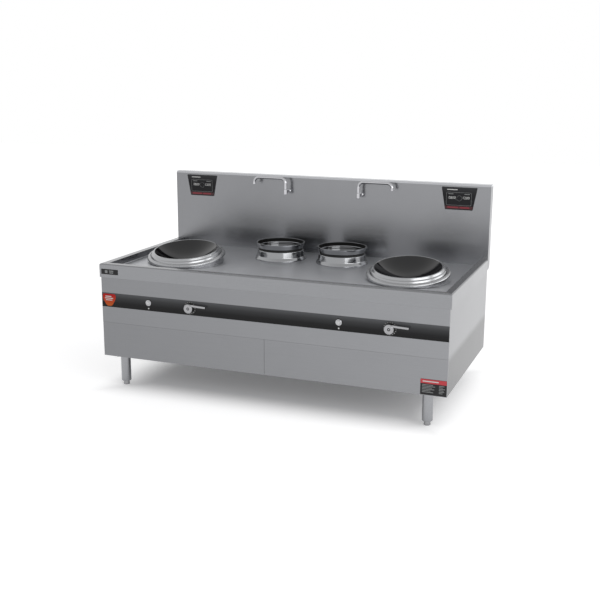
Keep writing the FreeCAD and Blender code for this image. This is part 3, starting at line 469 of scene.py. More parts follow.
# Painted light: the deck's steel is made nearly twice as light as the panels' to make up for the dim overhead
# surroundings it reflects.
deckSteel = brushedSteel("deckSteel", "x", 0.42, tone=1.95, anisotropy=0.2)
backSteel = brushedSteel("backSteel", "x", 0.42, tone=0.9)
legSteel = brushedSteel("legSteel", "z", 0.26, tone=1.2, waved=False, anisotropy=0.3)
frameSteel = brushedSteel("frameSteel", "x", 0.45, tone=0.8, waved=False)
plainChrome = coatedSurface("plainChrome", (0.5, 0.5, 0.52), 0.1, 1.0, spread=0.03, grainDepth=0.000005)
satinChrome = coatedSurface("satinChrome", (0.36, 0.36, 0.37), 0.24, 1.0, spread=0.04, grainDepth=0.00001)
footChrome = coatedSurface("footChrome", (0.33, 0.33, 0.34), 0.2, 1.0, spread=0.06, grainDepth=0.00001)
brightCap = coatedSurface("brightCap", (0.6, 0.6, 0.61), 0.3, 0.6, spread=0.03)
blackRubber = coatedSurface("blackRubber", (0.008, 0.008, 0.008), 0.55, spread=0.15)
blackSeat = coatedSurface("blackSeat", (0.0025, 0.0025, 0.0025), 0.6, **{"Specular IOR Level": 0.1})
dialBlack = coatedSurface("dialBlack", (0.012, 0.012, 0.013), 0.3)
blackNylon = coatedSurface("blackNylon", (0.03, 0.03, 0.032), 0.5, grainDepth=0.00006)
lightLens = coatedSurface("lightLens", (0.8, 0.8, 0.78), 0.15)
whitePrint = coatedSurface("whitePrint", (0.75, 0.75, 0.74), 0.5, spread=0.03)
greyPrint = coatedSurface("greyPrint", (0.3, 0.31, 0.31), 0.5, spread=0.05)
redPrint = coatedSurface("redPrint", (0.3, 0.02, 0.035), 0.35, spread=0.05)
darkRed = coatedSurface("darkRed", (0.05, 0.003, 0.006), 0.35, spread=0.05)
redHeader = coatedSurface("redHeader", (0.62, 0.045, 0.06), 0.35, spread=0.05)
plateBlack = coatedSurface("plateBlack", (0.012, 0.012, 0.013), 0.32, **{"Specular IOR Level": 0.3})
discGlass = blackGlass("discGlass")
copperMetal = coatedSurface("copperMetal", (0.55, 0.25, 0.13), 0.3, 1.0, spread=0.12)
coilWire = coatedSurface("coilWire", (0.5, 0.22, 0.1), 0.4, 1.0, grainScale=600.0, grainDepth=0.0003)
carrierPlastic = coatedSurface("carrierPlastic", (0.14, 0.135, 0.12), 0.6)
boardGreen = coatedSurface("boardGreen", (0.02, 0.12, 0.05), 0.45, spread=0.2, patchScale=60.0)
moduleMetal = coatedSurface("moduleMetal", (0.5, 0.5, 0.51), 0.4, 1.0, spread=0.06)

# Films from their lowest to their highest level, with the colours on the way up.
filmColours = {
    # Painted sheen: the strip's colours rise from near black at its foot to grey at its top.
    "strip": [(0.003, 0.003, 0.003), (0.010, 0.010, 0.011), (0.045, 0.046, 0.049), (0.115, 0.118, 0.125)],
    "sticker": [(0.62, 0.13, 0.02), (0.62, 0.06, 0.02), (0.5, 0.012, 0.015)],
    "display": [(0.008, 0.008, 0.010), (0.006, 0.006, 0.008), (0.008, 0.008, 0.010), (0.035, 0.036, 0.040)],
}
stripFilm = shadedFilm("stripFilm", 0.510, 0.599, filmColours["strip"])
stickerFilm = shadedFilm("stickerFilm", 0.52, 0.59, filmColours["sticker"], 0.35)
displayFilm = shadedFilm("displayFilm", 1.086, 1.228, filmColours["display"])
print("materials made")


def paintNodes(material, *names):
    for name in names:
        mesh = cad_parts[name].data
        mesh.materials.clear()
        mesh.materials.append(material)


paintNodes(frameSteel, "frame_posts", "frame_rails", "frame_cross_rails")
paintNodes(coilWire, "wok_coils", "tail_coils")
paintNodes(carrierPlastic, "coil_carriers")
paintNodes(boardGreen, "display_boards")
paintNodes(moduleMetal, "power_modules", "terminal_box")
paintNodes(copperMetal, "water_pipe")
paintNodes(blackNylon, "fan_left", "fan_right")


# Folded sheets: merged copies of the solids with softened edges.

def dressSheet(node, name, material, edge=0.0006):
    startFresh()
    sheet = bpy.data.objects.new(name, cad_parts[node].data.copy())
    bpy.context.scene.collection.objects.link(sheet)
    editAll(sheet)
    bpy.ops.mesh.remove_doubles(threshold=0.00001)
    bpy.ops.mesh.dissolve_limited(angle_limit=math.radians(0.5))
    closeEdit()
    bpy.ops.mesh.customdata_custom_splitnormals_clear()
    if edge:
        softenEdges(sheet, edge)
    finishPiece(sheet, name, material, replaced=[node])


dressSheet("rim_front", "frontRim", rimSteel)
dressSheet("rim_left", "leftRim", sideRimSteel)
dressSheet("rim_right", "rightRim", sideRimSteel)
dressSheet("deck_plate", "deckPlate", deckSteel, 0)
dressSheet("backsplash_front", "backsplashSheet", splashSteel)
dressSheet("backsplash_back", "backsplashCover", backSteel, 0.0004)
dressSheet("fascia_panel", "fasciaPanel", panelSteel, 0.0005)
dressSheet("control_strip", "controlStrip", stripFilm, 0.0008)
for side, sign in sides:
    dressSheet("service_panel_" + side, side + "ServicePanel", panelSteel, 0.0007)
    dressSheet("side_panel_" + side, side + "SidePanel", sideSteel, 0.0005)
dressSheet("back_panel", "backPanel", backSteel, 0.0003)
dressSheet("base_panel", "basePanel", backSteel, 0)
print("sheets dressed")


# Coved corners of the sunken deck.

deckCove = {
    "low": (-1.054, -0.4915, 0.7401),
    "high": (1.054, 0.4925, 0.7795),
    "radius": 0.004,
    "segments": 5,
}


def makeDeckCove():
    cove = addBlock(deckCove["low"], deckCove["high"])
    deleteFaces(cove, lambda centre, normal: normal.z > 0.5)
    bottom, back = deckCove["low"][2] + near, deckCove["high"][1] - near
    bevelEdges(cove, lambda middle, way: middle.y < back and (middle.z < bottom or abs(way.z) > 0.9),
               deckCove["radius"], deckCove["segments"])
    deleteFaces(cove, lambda centre, normal: max(abs(value) for value in normal) > 0.999)
    editAll(cove)
    bpy.ops.mesh.flip_normals()
    closeEdit()
    finishPiece(cove, "deckCove", deckSteel)


makeDeckCove()


# Wok stations.

wokStation = {
    "x": 0.735,
    "y": -0.0875,
    "z": 0.819,
    "tilt": 7.8,
    "deck": 0.7402,
    "ring": [(192, -30.2), (230, -30.2, 1), (230, -25, 2), (249.5, -27, 16), (249.5, -45.5, 2.5),
             (236, -47.5, 2), (236, -130)],
    "trim": [(200, -4), (200.6, -0.8, 0.6), (203, 0, 1.5), (209, 0, 4), (215, -12.6, 2.5), (217, -14.2, 1),
             (222, -17, 5), (227, -30)],
    "sheet": 2.0,
    "bowlRadius": 286.0,
    "bowlEdge": 202.0,
    "bowlDrop": 4.0,
    "glass": 5.0,
    "glassEdge": 0.0008,
    # Direction and ramp of the painted reflection that makes each bowl's near side duller and its far side
    # shinier.
    "paintedSheenWay": (-0.34, 0.94, 0),
    "gloss": (0.015, 0.08, 0.03, 0.58),
    "seal": [(194.5, -29), (207.5, -29), (207.5, -4.6, 1), (195.5, -4.6, 1), (194.5, -29)],
}
ringColour = (0.38, 0.385, 0.395)
trimColour = (0.37, 0.375, 0.385)


def bowlSection():
    radius, steps = wokStation["bowlRadius"], 28
    centre = math.sqrt(radius ** 2 - wokStation["bowlEdge"] ** 2) - wokStation["bowlDrop"]
    step = math.asin(wokStation["bowlEdge"] / radius) / steps
    return [(radius * math.sin(step * index), centre - radius * math.cos(step * index))
            for index in range(1, steps + 1)]


# Turns a section, thickens it to a sheet and tilts it into its station.
def turnAtWok(section, sign, around=128, steps=6, wall=0.0, edge=0.0, capStart=False):
    piece = turnSection(section, around, steps, capStart=capStart)
    if wall:
        addModifier(piece, "SOLIDIFY", thickness=wall * mm, offset=-1)
    if edge:
        softenEdges(piece, edge, 2, 50)
    turnPiece(piece, "X", wokStation["tilt"])
    movePiece(piece, sign * wokStation["x"], wokStation["y"], wokStation["z"])
    return piece


def makeWokStation(side, sign):
    shape = wokStation
    centre, tilt = (sign * shape["x"], shape["y"], shape["z"]), shape["tilt"]
    turned = turnedSteel(side + "WokSteel", ringColour, centre, tilt, roughness=0.27)
    polished = turnedSteel(side + "WokTrim", trimColour, centre, tilt, roughness=0.2)
    glass = blackGlass(side + "WokGlass", centre, tilt, shape["paintedSheenWay"], shape["gloss"])
    ring = turnAtWok(shape["ring"], sign, steps=8, wall=shape["sheet"])
    editAll(ring)
    bpy.ops.mesh.bisect(plane_co=(0, 0, shape["deck"]), plane_no=(0, 0, 1), clear_inner=True, use_fill=True)
    closeEdit()
    finishPiece(ring, side + "WokRing", turned, replaced=["wok_ring_" + side])
    trim = turnAtWok(shape["trim"], sign, wall=shape["sheet"])
    finishPiece(trim, side + "WokTrimRing", polished, replaced=["wok_trim_ring_" + side])
    bowl = turnAtWok(bowlSection(), sign, wall=shape["glass"], edge=shape["glassEdge"], capStart=True)
    finishPiece(bowl, side + "WokBowl", glass, replaced=["wok_glass_" + side])
    seal = turnAtWok(shape["seal"], sign, 96, 3)
    finishPiece(seal, side + "WokSeal", blackRubber, replaced=["seals"])


for side, sign in sides:
    makeWokStation(side, sign)
print("wok stations made")


# Pot stations.

potStation = {
    "x": 0.212,
    "y": 0.2455,
    "collar": [(118, 801), (150, 801, 6), (156, 763, 14), (167, 745, 5), (167, 740.4)],
    "collarSheet": 2.0,
    "gasket": [(138.6, 801.2), (143.6, 801.2, 1), (144.2, 809.8, 1.5), (138.6, 809.8, 1), (138.6, 801.2)],
    "ring": [(138, 810.1), (138, 822, 1.5), (152.2, 846.6, 1.2), (157.8, 846.9, 1.6), (156.5, 838, 3),
             (149, 815, 3), (142.4, 810.2)],
    "ringSheet": 1.4,
    "seat": [(139.9, 825.1), (151.7, 844.9, 0.8), (149.8, 846.1, 0.8), (137.8, 826.4, 0.8), (139.9, 825.1)],
    "disc": [(60, 808), (132.5, 808, 1.2), (134, 806.5, 1), (134, 803.2)],
    "collarColour": (0.31, 0.315, 0.325),
    "ringColour": (0.27, 0.275, 0.285),
}


def makePotStation(side, sign):
    place = (sign * potStation["x"], potStation["y"], 0)
    turned = turnedSteel(side + "PotSteel", potStation["collarColour"], place, roughness=0.14)
    polished = turnedSteel(side + "PotRingSteel", potStation["ringColour"], place, roughness=0.08)
    parts = (
        ("collar", side + "PotCollar", turned, "ring_chrome", "tail_collar_" + side, "collarSheet"),
        ("gasket", side + "PotGasket", blackRubber, "seal_rubber", "seals", None),
        ("ring", side + "PotRing", polished, "ring_chrome", "tail_ring_" + side, "ringSheet"),
        ("seat", side + "PotSeat", blackSeat, "seal_rubber", "seals", None),
        ("disc", side + "PotGlass", discGlass, "black_glass", "tail_glass_" + side, None),
    )
    for key, name, material, slotName, node, wall in parts:
        piece = turnSection(potStation[key], 112, 6, capStart=key == "disc")
        if wall:
            addModifier(piece, "SOLIDIFY", thickness=potStation[wall] * mm, offset=-1)
        movePiece(piece, *place)
        finishPiece(piece, name, material, replaced=[node])


for side, sign in sides:
    makePotStation(side, sign)
print("pot stations made")


# Controls on the black strip.

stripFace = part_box("control_strip")[0].y
bandMiddle = 0.5545

buttonShape = {
    "rise": 0.005,
    "gasket": [(16.4, 0), (23.5, 0, 0.4), (22.6, 1.4, 0.8), (18.2, 1.6), (16.4, 1.6), (16.4, 0)],
    "bezel": [(13.2, 0.2), (18.4, 0.2, 0.2), (18.4, 3.6, 1.2), (16.2, 5, 0.5), (14.2, 5, 0.5), (13.2, 3.6),
              (13.2, 0.2)],
    "cap": [(2, 6.6), (9, 7.2, 6), (12, 7.9, 0.6), (12.9, 7, 0.6), (12.9, 0.3)],
    "capRing": [(7.2, 7.15), (8.4, 7.35), (8.4, 6.6), (7.2, 6.6), (7.2, 7.15)],
}
lightShape = {
    "drop": 0.035,
    "lens": [(1.5, 1.25), (3.2, 0.95, 1.5), (3.6, 0.2), (3.6, 0.05)],
    "bezel": [(3.7, 0), (5, 0, 0.2), (4.9, 0.9, 0.4), (3.7, 1, 0.2), (3.7, 0)],
}


# Places a turned piece with its axis pointing out of the front.
def faceFront(piece, x, y, z):
    turnPiece(piece, "X", 90)
    movePiece(piece, x, y, z)


def turnToFront(section, around, steps, place, capStart=False):
    piece = turnSection(section, around, steps, capStart=capStart)
    faceFront(piece, *place)
    return piece


def makeButton(side, x):
    shape = buttonShape
    place = (x, stripFace, bandMiddle + shape["rise"])
    gasket = turnToFront(shape["gasket"], 64, 3, place)
    finishPiece(gasket, side + "ButtonGasket", blackRubber)
    bezel = turnToFront(shape["bezel"], 64, 4, place)
    finishPiece(bezel, side + "ButtonBezel", plainChrome, replaced=["button_housings"])
    cap = turnToFront(shape["cap"], 64, 6, place, capStart=True)
    ring = turnToFront(shape["capRing"], 48, 2, place)
    setMaterial(cap, brightCap)
    setMaterial(ring, greyPrint)
    cap = joinPieces([cap, ring])
    finishPiece(cap, side + "ButtonCap", None, "button_" + side, ["button_" + side])


def makeLight(side, x):
    place = (x, stripFace, bandMiddle + buttonShape["rise"] - lightShape["drop"])
    lens = turnToFront(lightShape["lens"], 32, 4, place, capStart=True)
    finishPiece(lens, side + "LightLens", lightLens, replaced=["indicator_lights"])
    rim = turnToFront(lightShape["bezel"], 32, 3, place)
    finishPiece(rim, side + "LightBezel", plainChrome)


leverShape = {
    "dial": [(6, 1.5), (39.2, 1.5, 0.5), (39.8, 0.8, 0.3), (39.8, 0.05)],
    "neck": [(16.8, 1.4), (16.8, 9.9, 0.6), (6, 9.9)],
    "disc": [(8, 25.6), (9.2, 28.4, 0.8), (20.5, 28.4, 0.4), (21, 28, 0.3), (22, 28, 0.3), (22.5, 28.4, 0.4),
             (27.9, 28.4, 2.2), (27.9, 10.6, 1.5), (9, 10.6)],
    "socket": [(2, 25.7), (8.2, 25.7)],
    "screw": [(1.4, 26.8), (3.6, 27.0, 0.8), (4.2, 25.8)],
    "slotLow": (-0.0034, -0.0004, 0.0262),
    "slotHigh": (0.0034, 0.0004, 0.02706),
    "armLow": (-0.002, 0.012),      # x and z of the arm's root, about the shaft
    "armHigh": (0.112, 0.026),
    "armThick": 0.012,
    "armDrop": 0.004,
    "armTip": 0.9,
    "armRound": 0.003,
    "armDepth": 0.0195,             # from the strip to the middle of the arm
    "armShares": (0.5, 0.75, 1.0),  # of its reach, where the arm droops and narrows
}
dialPrint = {
    "inner": 0.0335,
    "outer": 0.0385,
    "width": 0.0018,
    "count": 16,
    "thick": 0.00015,
    "level": 0.0015,                # of the dial's face over the strip
    "numberRadius": 0.0305,
    "numberSize": 0.0062,
    "numberStep": -45,
    "numbers": ("0", "2", "4", "6", "8"),
}


def flatText(words, size, x, y, z, depth=0.0002):
    startFresh()
    bpy.ops.object.text_add(location=(0, 0, 0))
    label = bpy.context.object
    label.data.body = words
    label.data.size = size
    label.data.align_x = "CENTER"
    label.data.align_y = "CENTER"
    label.data.extrude = depth
    label.data.resolution_u = 3
    bpy.ops.object.convert(target="MESH")
    label.rotation_euler = (math.pi / 2, 0, 0)
    applyPlace(label)
    movePiece(label, x, y, z)
    return label


def makeDial(side, x):
    plate = turnSection(leverShape["dial"], 96, 3)
    neck = turnSection(leverShape["neck"], 64, 3)
    setMaterial(plate, dialBlack)
    setMaterial(neck, satinChrome)
    dial = joinPieces([plate, neck])
    faceFront(dial, x, stripFace, bandMiddle)
    finishPiece(dial, side + "LeverDial", None, replaced=["lever_switches"])
    face = stripFace - dialPrint["level"] - dialPrint["thick"]
    marks = []
    for index in range(dialPrint["count"]):
        mark = addBlock((dialPrint["inner"], -dialPrint["thick"], -dialPrint["width"] / 2),
                        (dialPrint["outer"], dialPrint["thick"], dialPrint["width"] / 2))
        turnPiece(mark, "Y", 360 / dialPrint["count"] * index)
        movePiece(mark, x, face, bandMiddle)
        marks.append(mark)
    for index, number in enumerate(dialPrint["numbers"]):
        angle = math.radians(dialPrint["numberStep"] * index)
        across, up = (dialPrint["numberRadius"] * part for part in (math.cos(angle), math.sin(angle)))
        marks.append(flatText(number, dialPrint["numberSize"], x + across, face, bandMiddle + up))
    finishPiece(joinPieces(marks), side + "DialMarks", whitePrint)


def makeKnob(x):
    disc = turnSection(leverShape["disc"], 96, 4)
    socket = turnSection(leverShape["socket"], 48, capStart=True)
    screw = turnSection(leverShape["screw"], 24, 3, capStart=True)
    slot = addBlock(leverShape["slotLow"], leverShape["slotHigh"])
    parts = {disc: satinChrome, socket: dialBlack, screw: plainChrome, slot: dialBlack}
    for piece, material in parts.items():
        setMaterial(piece, material)
    knob = joinPieces(list(parts))
    faceFront(knob, x, stripFace, bandMiddle)
    return knob


def makeLeverArm(x):
    low, high = leverShape["armLow"], leverShape["armHigh"]
    middle = stripFace - leverShape["armDepth"]
    half = leverShape["armThick"] / 2
    arm = addBlock((x + low[0], middle - half, bandMiddle + low[1]),
                   (x + high[0], middle + half, bandMiddle + high[1]))
    editAll(arm)
    bpy.ops.mesh.subdivide(number_cuts=3)
    closeEdit()
    reach = high[0] - low[0]
    for share in leverShape["armShares"]:
        at = x + low[0] + reach * share
        pickEdges(arm, lambda centre, way: abs(centre.x - at) < near)
        bpy.ops.transform.translate(value=(0, 0, -leverShape["armDrop"] * share))
        tip = 1 - (1 - leverShape["armTip"]) * share
        level = bandMiddle + (low[1] + high[1]) / 2 - leverShape["armDrop"] * share
        bpy.ops.transform.resize(value=(1, 1, tip), center_override=(at, middle, level))
        closeEdit()
    softenEdges(arm, leverShape["armRound"], 5, 40)
    setMaterial(arm, satinChrome)
    return arm


def makeLever(side, x):
    lever = joinPieces([makeKnob(x), makeLeverArm(x)])
    finishPiece(lever, side + "Lever", None, "lever_" + side, ["lever_" + side])


for side, x in (("left", -0.764), ("right", 0.459)):
    makeButton(side, x)
    makeLight(side, x)
for side, x in (("left", -0.482), ("right", 0.759)):
    makeDial(side, x)
    makeLever(side, x)
print("controls made")


# Display panels.

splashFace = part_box("backsplash_front")[0].y

displayShape = {
    "x": 0.901,
    "top": 1.228,
    "height": 0.142,
    "topWidth": 0.227,
    "bottomWidth": 0.175,
    "thick": 0.005,
    "corner": 0.004,
    "lip": 0.0035,
    "sink": 0.0006,             # of the face inside the lip
    "printSink": 0.0005,
    "printThick": 0.0002,
    "frame": (-0.0815, 0.0785, 1.114, 1.196),   # left, right, bottom, top of the printed frame
    "frameCorner": 0.008,
    "frameLine": 0.0013,
    "digits": (("0800", -0.044, 1.161, 0.023), ("1200", 0.044, 1.162, 0.023)),
    "dashes": ((-0.053, 1.1855, 0.032, 0.0036), (0.05, 1.1855, 0.034, 0.0036)),
    "topDash": (-0.045, 1.2125, 0.066, 0.005),
    "dial": (0.001, 1.159, 0.017),
    "band": (1.091, 1.110),
    "bandOut": 0.001,
    "bandRise": 0.00015,
    "bandCorner": 0.002,
    "bandDashes": ((-0.038, 1.1005, 0.07, 0.008), (0.036, 1.1005, 0.062, 0.008)),
}
displayFace = splashFace - displayShape["thick"] + displayShape["printSink"]
barThick = 0.0001


# Printed dashes, each given by x and z of its middle, length and height.
def printBars(bars, face, middle=0.0):
    return [addBlock((middle + x - length / 2, face - barThick, z - height / 2),
                     (middle + x + length / 2, face + barThick, z + height / 2))
            for x, z, length, height in bars]


def makeDisplayPlate(side, middle):
    shape = displayShape
    low = shape["top"] - shape["height"]
    half = shape["topWidth"] / 2
    plate = addBlock((middle - half, splashFace - shape["thick"], low),
                     (middle + half, splashFace, shape["top"]))
    pickFaces(plate, lambda centre, normal: normal.z < -0.5)
    bpy.ops.transform.resize(value=(shape["bottomWidth"] / shape["topWidth"], 1, 1),
                             center_override=(middle, splashFace, low))
    closeEdit()
    roundCorners(plate, "y", shape["corner"], 6)
    pickFaces(plate, lambda centre, normal: normal.y < -0.9)
    bpy.ops.mesh.inset(thickness=shape["lip"])
    bpy.ops.transform.translate(value=(0, shape["sink"], 0))
    closeEdit()
    softenEdges(plate, 0.0005, 2, 25)
    finishPiece(plate, side + "Display", displayFilm, replaced=["display_panel_" + side])


def makeDisplayPrint(side, middle):
    shape = displayShape
    left, right, bottom, top = shape["frame"]
    outline = addBlock((middle + left, displayFace - shape["printThick"], bottom),
                       (middle + right, displayFace + shape["printThick"], top))
    roundCorners(outline, "y", shape["frameCorner"], 5)
    pickFaces(outline, lambda centre, normal: normal.y < -0.9)
    bpy.ops.mesh.inset(thickness=shape["frameLine"])
    bpy.ops.mesh.delete(type="FACE")
    closeEdit()
    deleteFaces(outline, lambda centre, normal: normal.y > 0.9)
    dialX, dialZ, radius = shape["dial"]
    dial = turnSection([(radius / mm - 1, 0.2), (radius / mm, 0.2), (radius / mm, 0)], 40)
    faceFront(dial, middle + dialX, displayFace, dialZ)
    printed = [outline] + printBars(shape["dashes"], displayFace, middle) + [dial]
    finishPiece(joinPieces(printed), side + "DisplayFrame", greyPrint)
    digits = [flatText(words, size, middle + x, displayFace, z) for words, x, z, size in shape["digits"]]
    digits += printBars([shape["topDash"]], displayFace, middle)
    finishPiece(joinPieces(digits), side + "DisplayDigits", whitePrint)


def makeDisplayBand(side, middle):
    shape = displayShape
    low, high = shape["band"]
    half = shape["bottomWidth"] / 2 + shape["bandOut"]
    band = addBlock((middle - half, displayFace - shape["bandRise"], low),
                    (middle + half, displayFace + shape["printThick"], high))
    roundCorners(band, "y", shape["bandCorner"], 3)
    finishPiece(band, side + "DisplayBand", darkRed)
    dashes = printBars(shape["bandDashes"], displayFace - shape["bandRise"], middle)
    finishPiece(joinPieces(dashes), side + "DisplayBandDashes", redPrint)


for side, sign in sides:
    middle = sign * displayShape["x"]
    makeDisplayPlate(side, middle)
    makeDisplayPrint(side, middle)
    makeDisplayBand(side, middle)
print("displays made")


# Swing taps.

tapShape = {
    "x": 0.254,
    "y": 0.4325,
    "socket": 1.146,
    "armHeight": 1.238,
    "reach": 0.226,
    "bend": 0.035,
    "tube": 0.009,
    "spoutEnd": 1.192,
    "aerator": 0.0104,
    "aeratorLong": 0.0105,
    "aeratorEdge": 0.97,
    "aeratorSteps": ((-0.0004, 1.03), (-0.0092, 1.0), (-0.0006, 0.95), (0, 0.74), (0.012, 1.0)),
    "body": [(7, 1130.2), (10.2, 1130.2, 1.5), (11.4, 1133, 0.8), (11.4, 1164, 0.8), (10.6, 1165.5, 0.3),
             (11, 1166.4, 0.3), (10.9, 1167.9, 0.4), (9.15, 1167.9), (9.15, 1160)],
    "stubHeight": 1.149,
    "flange": [(9.2, 0.2), (15, 0.2, 0.3), (14.7, 2.2, 1.2), (12.5, 3.4, 1.5), (11, 4.9, 1), (9.2, 4.9)],
    "stub": [(9, 0), (9, 55)],
    "nutRadius": 0.016,
    "nutThick": 0.008,
    "nutGap": 0.0015,
}


def makeTapArm(side, sign):
    x, y, socket = sign * tapShape["x"], tapShape["y"], tapShape["socket"]
    radius, bend, reach = tapShape["tube"], tapShape["bend"], sign * tapShape["reach"]
    bendTop = tapShape["armHeight"] - bend
    quarter = -math.pi / 2 * sign
    arm = addShape(bpy.ops.mesh.primitive_circle_add, vertices=32, radius=radius, location=(x, y, socket))
    editAll(arm, "EDGE")
    extrudeBy(0, bendTop - socket)
    bpy.ops.mesh.spin(steps=12, angle=quarter, center=(x + sign * bend, y, bendTop), axis=(0, 1, 0))
    extrudeBy(reach - 2 * sign * bend, 0)
    bpy.ops.mesh.spin(steps=12, angle=quarter, center=(x + reach - sign * bend, y, bendTop), axis=(0, 1, 0))
    neck = tapShape["spoutEnd"] + tapShape["aeratorLong"]
    wide = tapShape["aerator"] / radius * tapShape["aeratorEdge"]
    for drop, grow in ((neck - bendTop, 1.0), (0, wide)) + tapShape["aeratorSteps"]:
        extrudeBy(0, drop)
        bpy.ops.transform.resize(value=(grow, grow, 1), center_override=(x + reach, y, neck))
    bpy.ops.mesh.edge_face_add()
    closeEdit()
    facesOutward(arm)
    softenEdges(arm, 0.0004, 2, 50)
    name = "tap_arm_" + side
    finishPiece(arm, side + "TapArm", plainChrome, name, [name])


def makeTapBody(side, sign):
    x, y, z = sign * tapShape["x"], tapShape["y"], tapShape["stubHeight"]
    body = turnSection(tapShape["body"], 40, 4, capStart=True)
    movePiece(body, x, y, 0)
    stub = turnToFront(tapShape["stub"], 32, 6, (x, splashFace, z))
    flange = turnToFront(tapShape["flange"], 48, 4, (x, splashFace, z))
    nutMiddle = splashFace + tapShape["nutGap"] + tapShape["nutThick"] / 2
    nut = addHexagon(tapShape["nutRadius"], tapShape["nutThick"], (x, nutMiddle, z), math.pi / 2)
    tap = joinPieces([body, stub, flange, nut])
    finishPiece(tap, side + "TapBody", plainChrome, replaced=["tap_body_" + side])


for side, sign in sides:
    makeTapArm(side, sign)
    makeTapBody(side, sign)
print("taps made")


# Legs and screw feet.

legPlaces = {
    "front_left": (-0.974, -0.4765),
    "front_right": (0.974, -0.4765),
    "rear_left": (-0.9, 0.4585),
    "rear_right": (0.9, 0.4585),
}

legShape = {
    "tube": [(8.3, 26), (29, 26, 0.6), (30.5, 28.5, 1), (30.5, 185, 4), (34, 190)],
    "plate": 0.045,
    "plateLow": 0.190,
    "plateHigh": 0.193,
    "plateCorner": 0.008,
}
footSection = [(4, 0), (18.4, 0, 0.6), (20, 1.8, 0.8), (20, 5, 1), (17.5, 25.4, 0.6), (8.2, 25.8), (8, 25.8),
               (8, 38)]


def makeLeg(name, x, y):
    tube = turnSection(legShape["tube"], 64, 5)
    movePiece(tube, x, y, 0)
    half = legShape["plate"]
    plate = addBlock((x - half, y - half, legShape["plateLow"]), (x + half, y + half, legShape["plateHigh"]))
    roundCorners(plate, "z", legShape["plateCorner"], 5)
    softenEdges(plate, 0.0005, 2, 40)
    finishPiece(joinPieces([tube, plate]), name + "Leg", legSteel, replaced=["legs"])


def makeFoot(name, node, x, y):
    foot = turnSection(footSection, 48, 4, capStart=True)
    movePiece(foot, x, y, 0)
    finishPiece(foot, name + "Foot", footChrome, node, [node])


for place, (x, y) in legPlaces.items():
    end, side = place.split("_")
    name = end + side.title()
    makeLeg(name, x, y)
    makeFoot(name, "foot_" + place, x, y)
print("legs made")


# Plain label plates.

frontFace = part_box("rim_front")[0].y
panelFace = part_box("fascia_panel")[0].y

labels = {
    "namePlate": {"low": (-1.087, 0.7155), "high": (-0.969, 0.7485), "face": frontFace, "corner": 0.002},
    "stripSticker": {"low": (-1.086, 0.5165), "high": (-0.994, 0.5925), "face": stripFace, "corner": 0.012,
                     "waist": 0.6, "point": 0.4},
    "ratingPlate": {"low": (0.941, 0.196), "high": (1.090, 0.288), "face": panelFace, "corner": 0.003},
}
labelThick = 0.0007
labelGap = 0.00005


def makeLabel(name, material):
    label = labels[name]
    low, high, face = label["low"], label["high"], label["face"]
    plate = addBlock((low[0], face - labelThick, low[1]), (high[0], face - labelGap, high[1]))
    if "point" in label:
        waist = low[1] + (high[1] - low[1]) * label["waist"]
        editAll(plate)
        bpy.ops.mesh.bisect(plane_co=(0, 0, waist), plane_no=(0, 0, 1))
        closeEdit()
        pickFaces(plate, lambda centre, normal: normal.z < -0.5)
        bpy.ops.transform.resize(value=(label["point"], 1, 1), center_override=((low[0] + high[0]) / 2, 0, 0))
        closeEdit()
    roundCorners(plate, "y", label["corner"], 8)
    softenEdges(plate, 0.00015, 2, 50)
    finishPiece(plate, name, material, replaced=["label_plates"])


makeLabel("namePlate", plateBlack)
makeLabel("stripSticker", stickerFilm)
makeLabel("ratingPlate", plateBlack)

ratingRows = {"top": 0.2545, "pitch": 0.0085, "height": 0.0036}


def printRows(left, lengths):
    return [(left + length / 2, ratingRows["top"] - ratingRows["pitch"] * row, length, ratingRows["height"])
            for row, length in enumerate(lengths)]


# Plain dashes where print goes.
labelPrint = {
    "namePlate": [(-1.052, 0.7325, 0.018, 0.017), (-1.016, 0.7375, 0.03, 0.007),
                  (-1.016, 0.7265, 0.026, 0.007)],
    "stripSticker": [(-1.046, 0.5765, 0.042, 0.006), (-1.042, 0.565, 0.058, 0.006),
                     (-1.042, 0.5535, 0.046, 0.005)],
    "ratingPlate": (printRows(0.951, (0.062, 0.074, 0.055, 0.07, 0.048, 0.064))
                    + printRows(1.047, (0.03, 0.022, 0.034, 0.026, 0.03, 0.02))),
}
ratingHeader = {
    "side": 0.0008,
    "low": 0.026,       # under the plate's top edge, as the values after it
    "high": 0.0015,
    "bar": (0.058, 0.0135, 0.09, 0.006),
}


def makePrint(name, material):
    bars = printBars(labelPrint[name], labels[name]["face"] - labelThick)
    finishPiece(joinPieces(bars), name + "Print", material)


def makeRatingHeader():
    shape = ratingHeader
    left = labels["ratingPlate"]["low"][0]
    right, top = labels["ratingPlate"]["high"]
    face = panelFace - labelThick
    header = addBlock((left + shape["side"], face - barThick, top - shape["low"]),
                      (right - shape["side"], face + barThick, top - shape["high"]))
    finishPiece(header, "ratingHeader", redHeader)
    x, drop, length, height = shape["bar"]
    bar = printBars([(left + x, top - drop, length, height)], face - barThick)[0]
    finishPiece(bar, "ratingHeaderBar", whitePrint)


makePrint("namePlate", greyPrint)
makePrint("stripSticker", whitePrint)
makePrint("ratingPlate", greyPrint)
makeRatingHeader()
print("labels made")


# Back: louvre hoods, screws, leg bolts.

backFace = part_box("back_panel")[1].y
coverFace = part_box("backsplash_back")[1].y

louvre = {
    "x": 0.735,
    "length": 0.226,
    "pitch": 0.022,
    "rows": 8,
    "low": 0.4295,
    "height": 0.0135,
    "root": 0.0002,
    "out": 0.0055,
    "round": 0.0048,
    "sheet": 0.001,
}


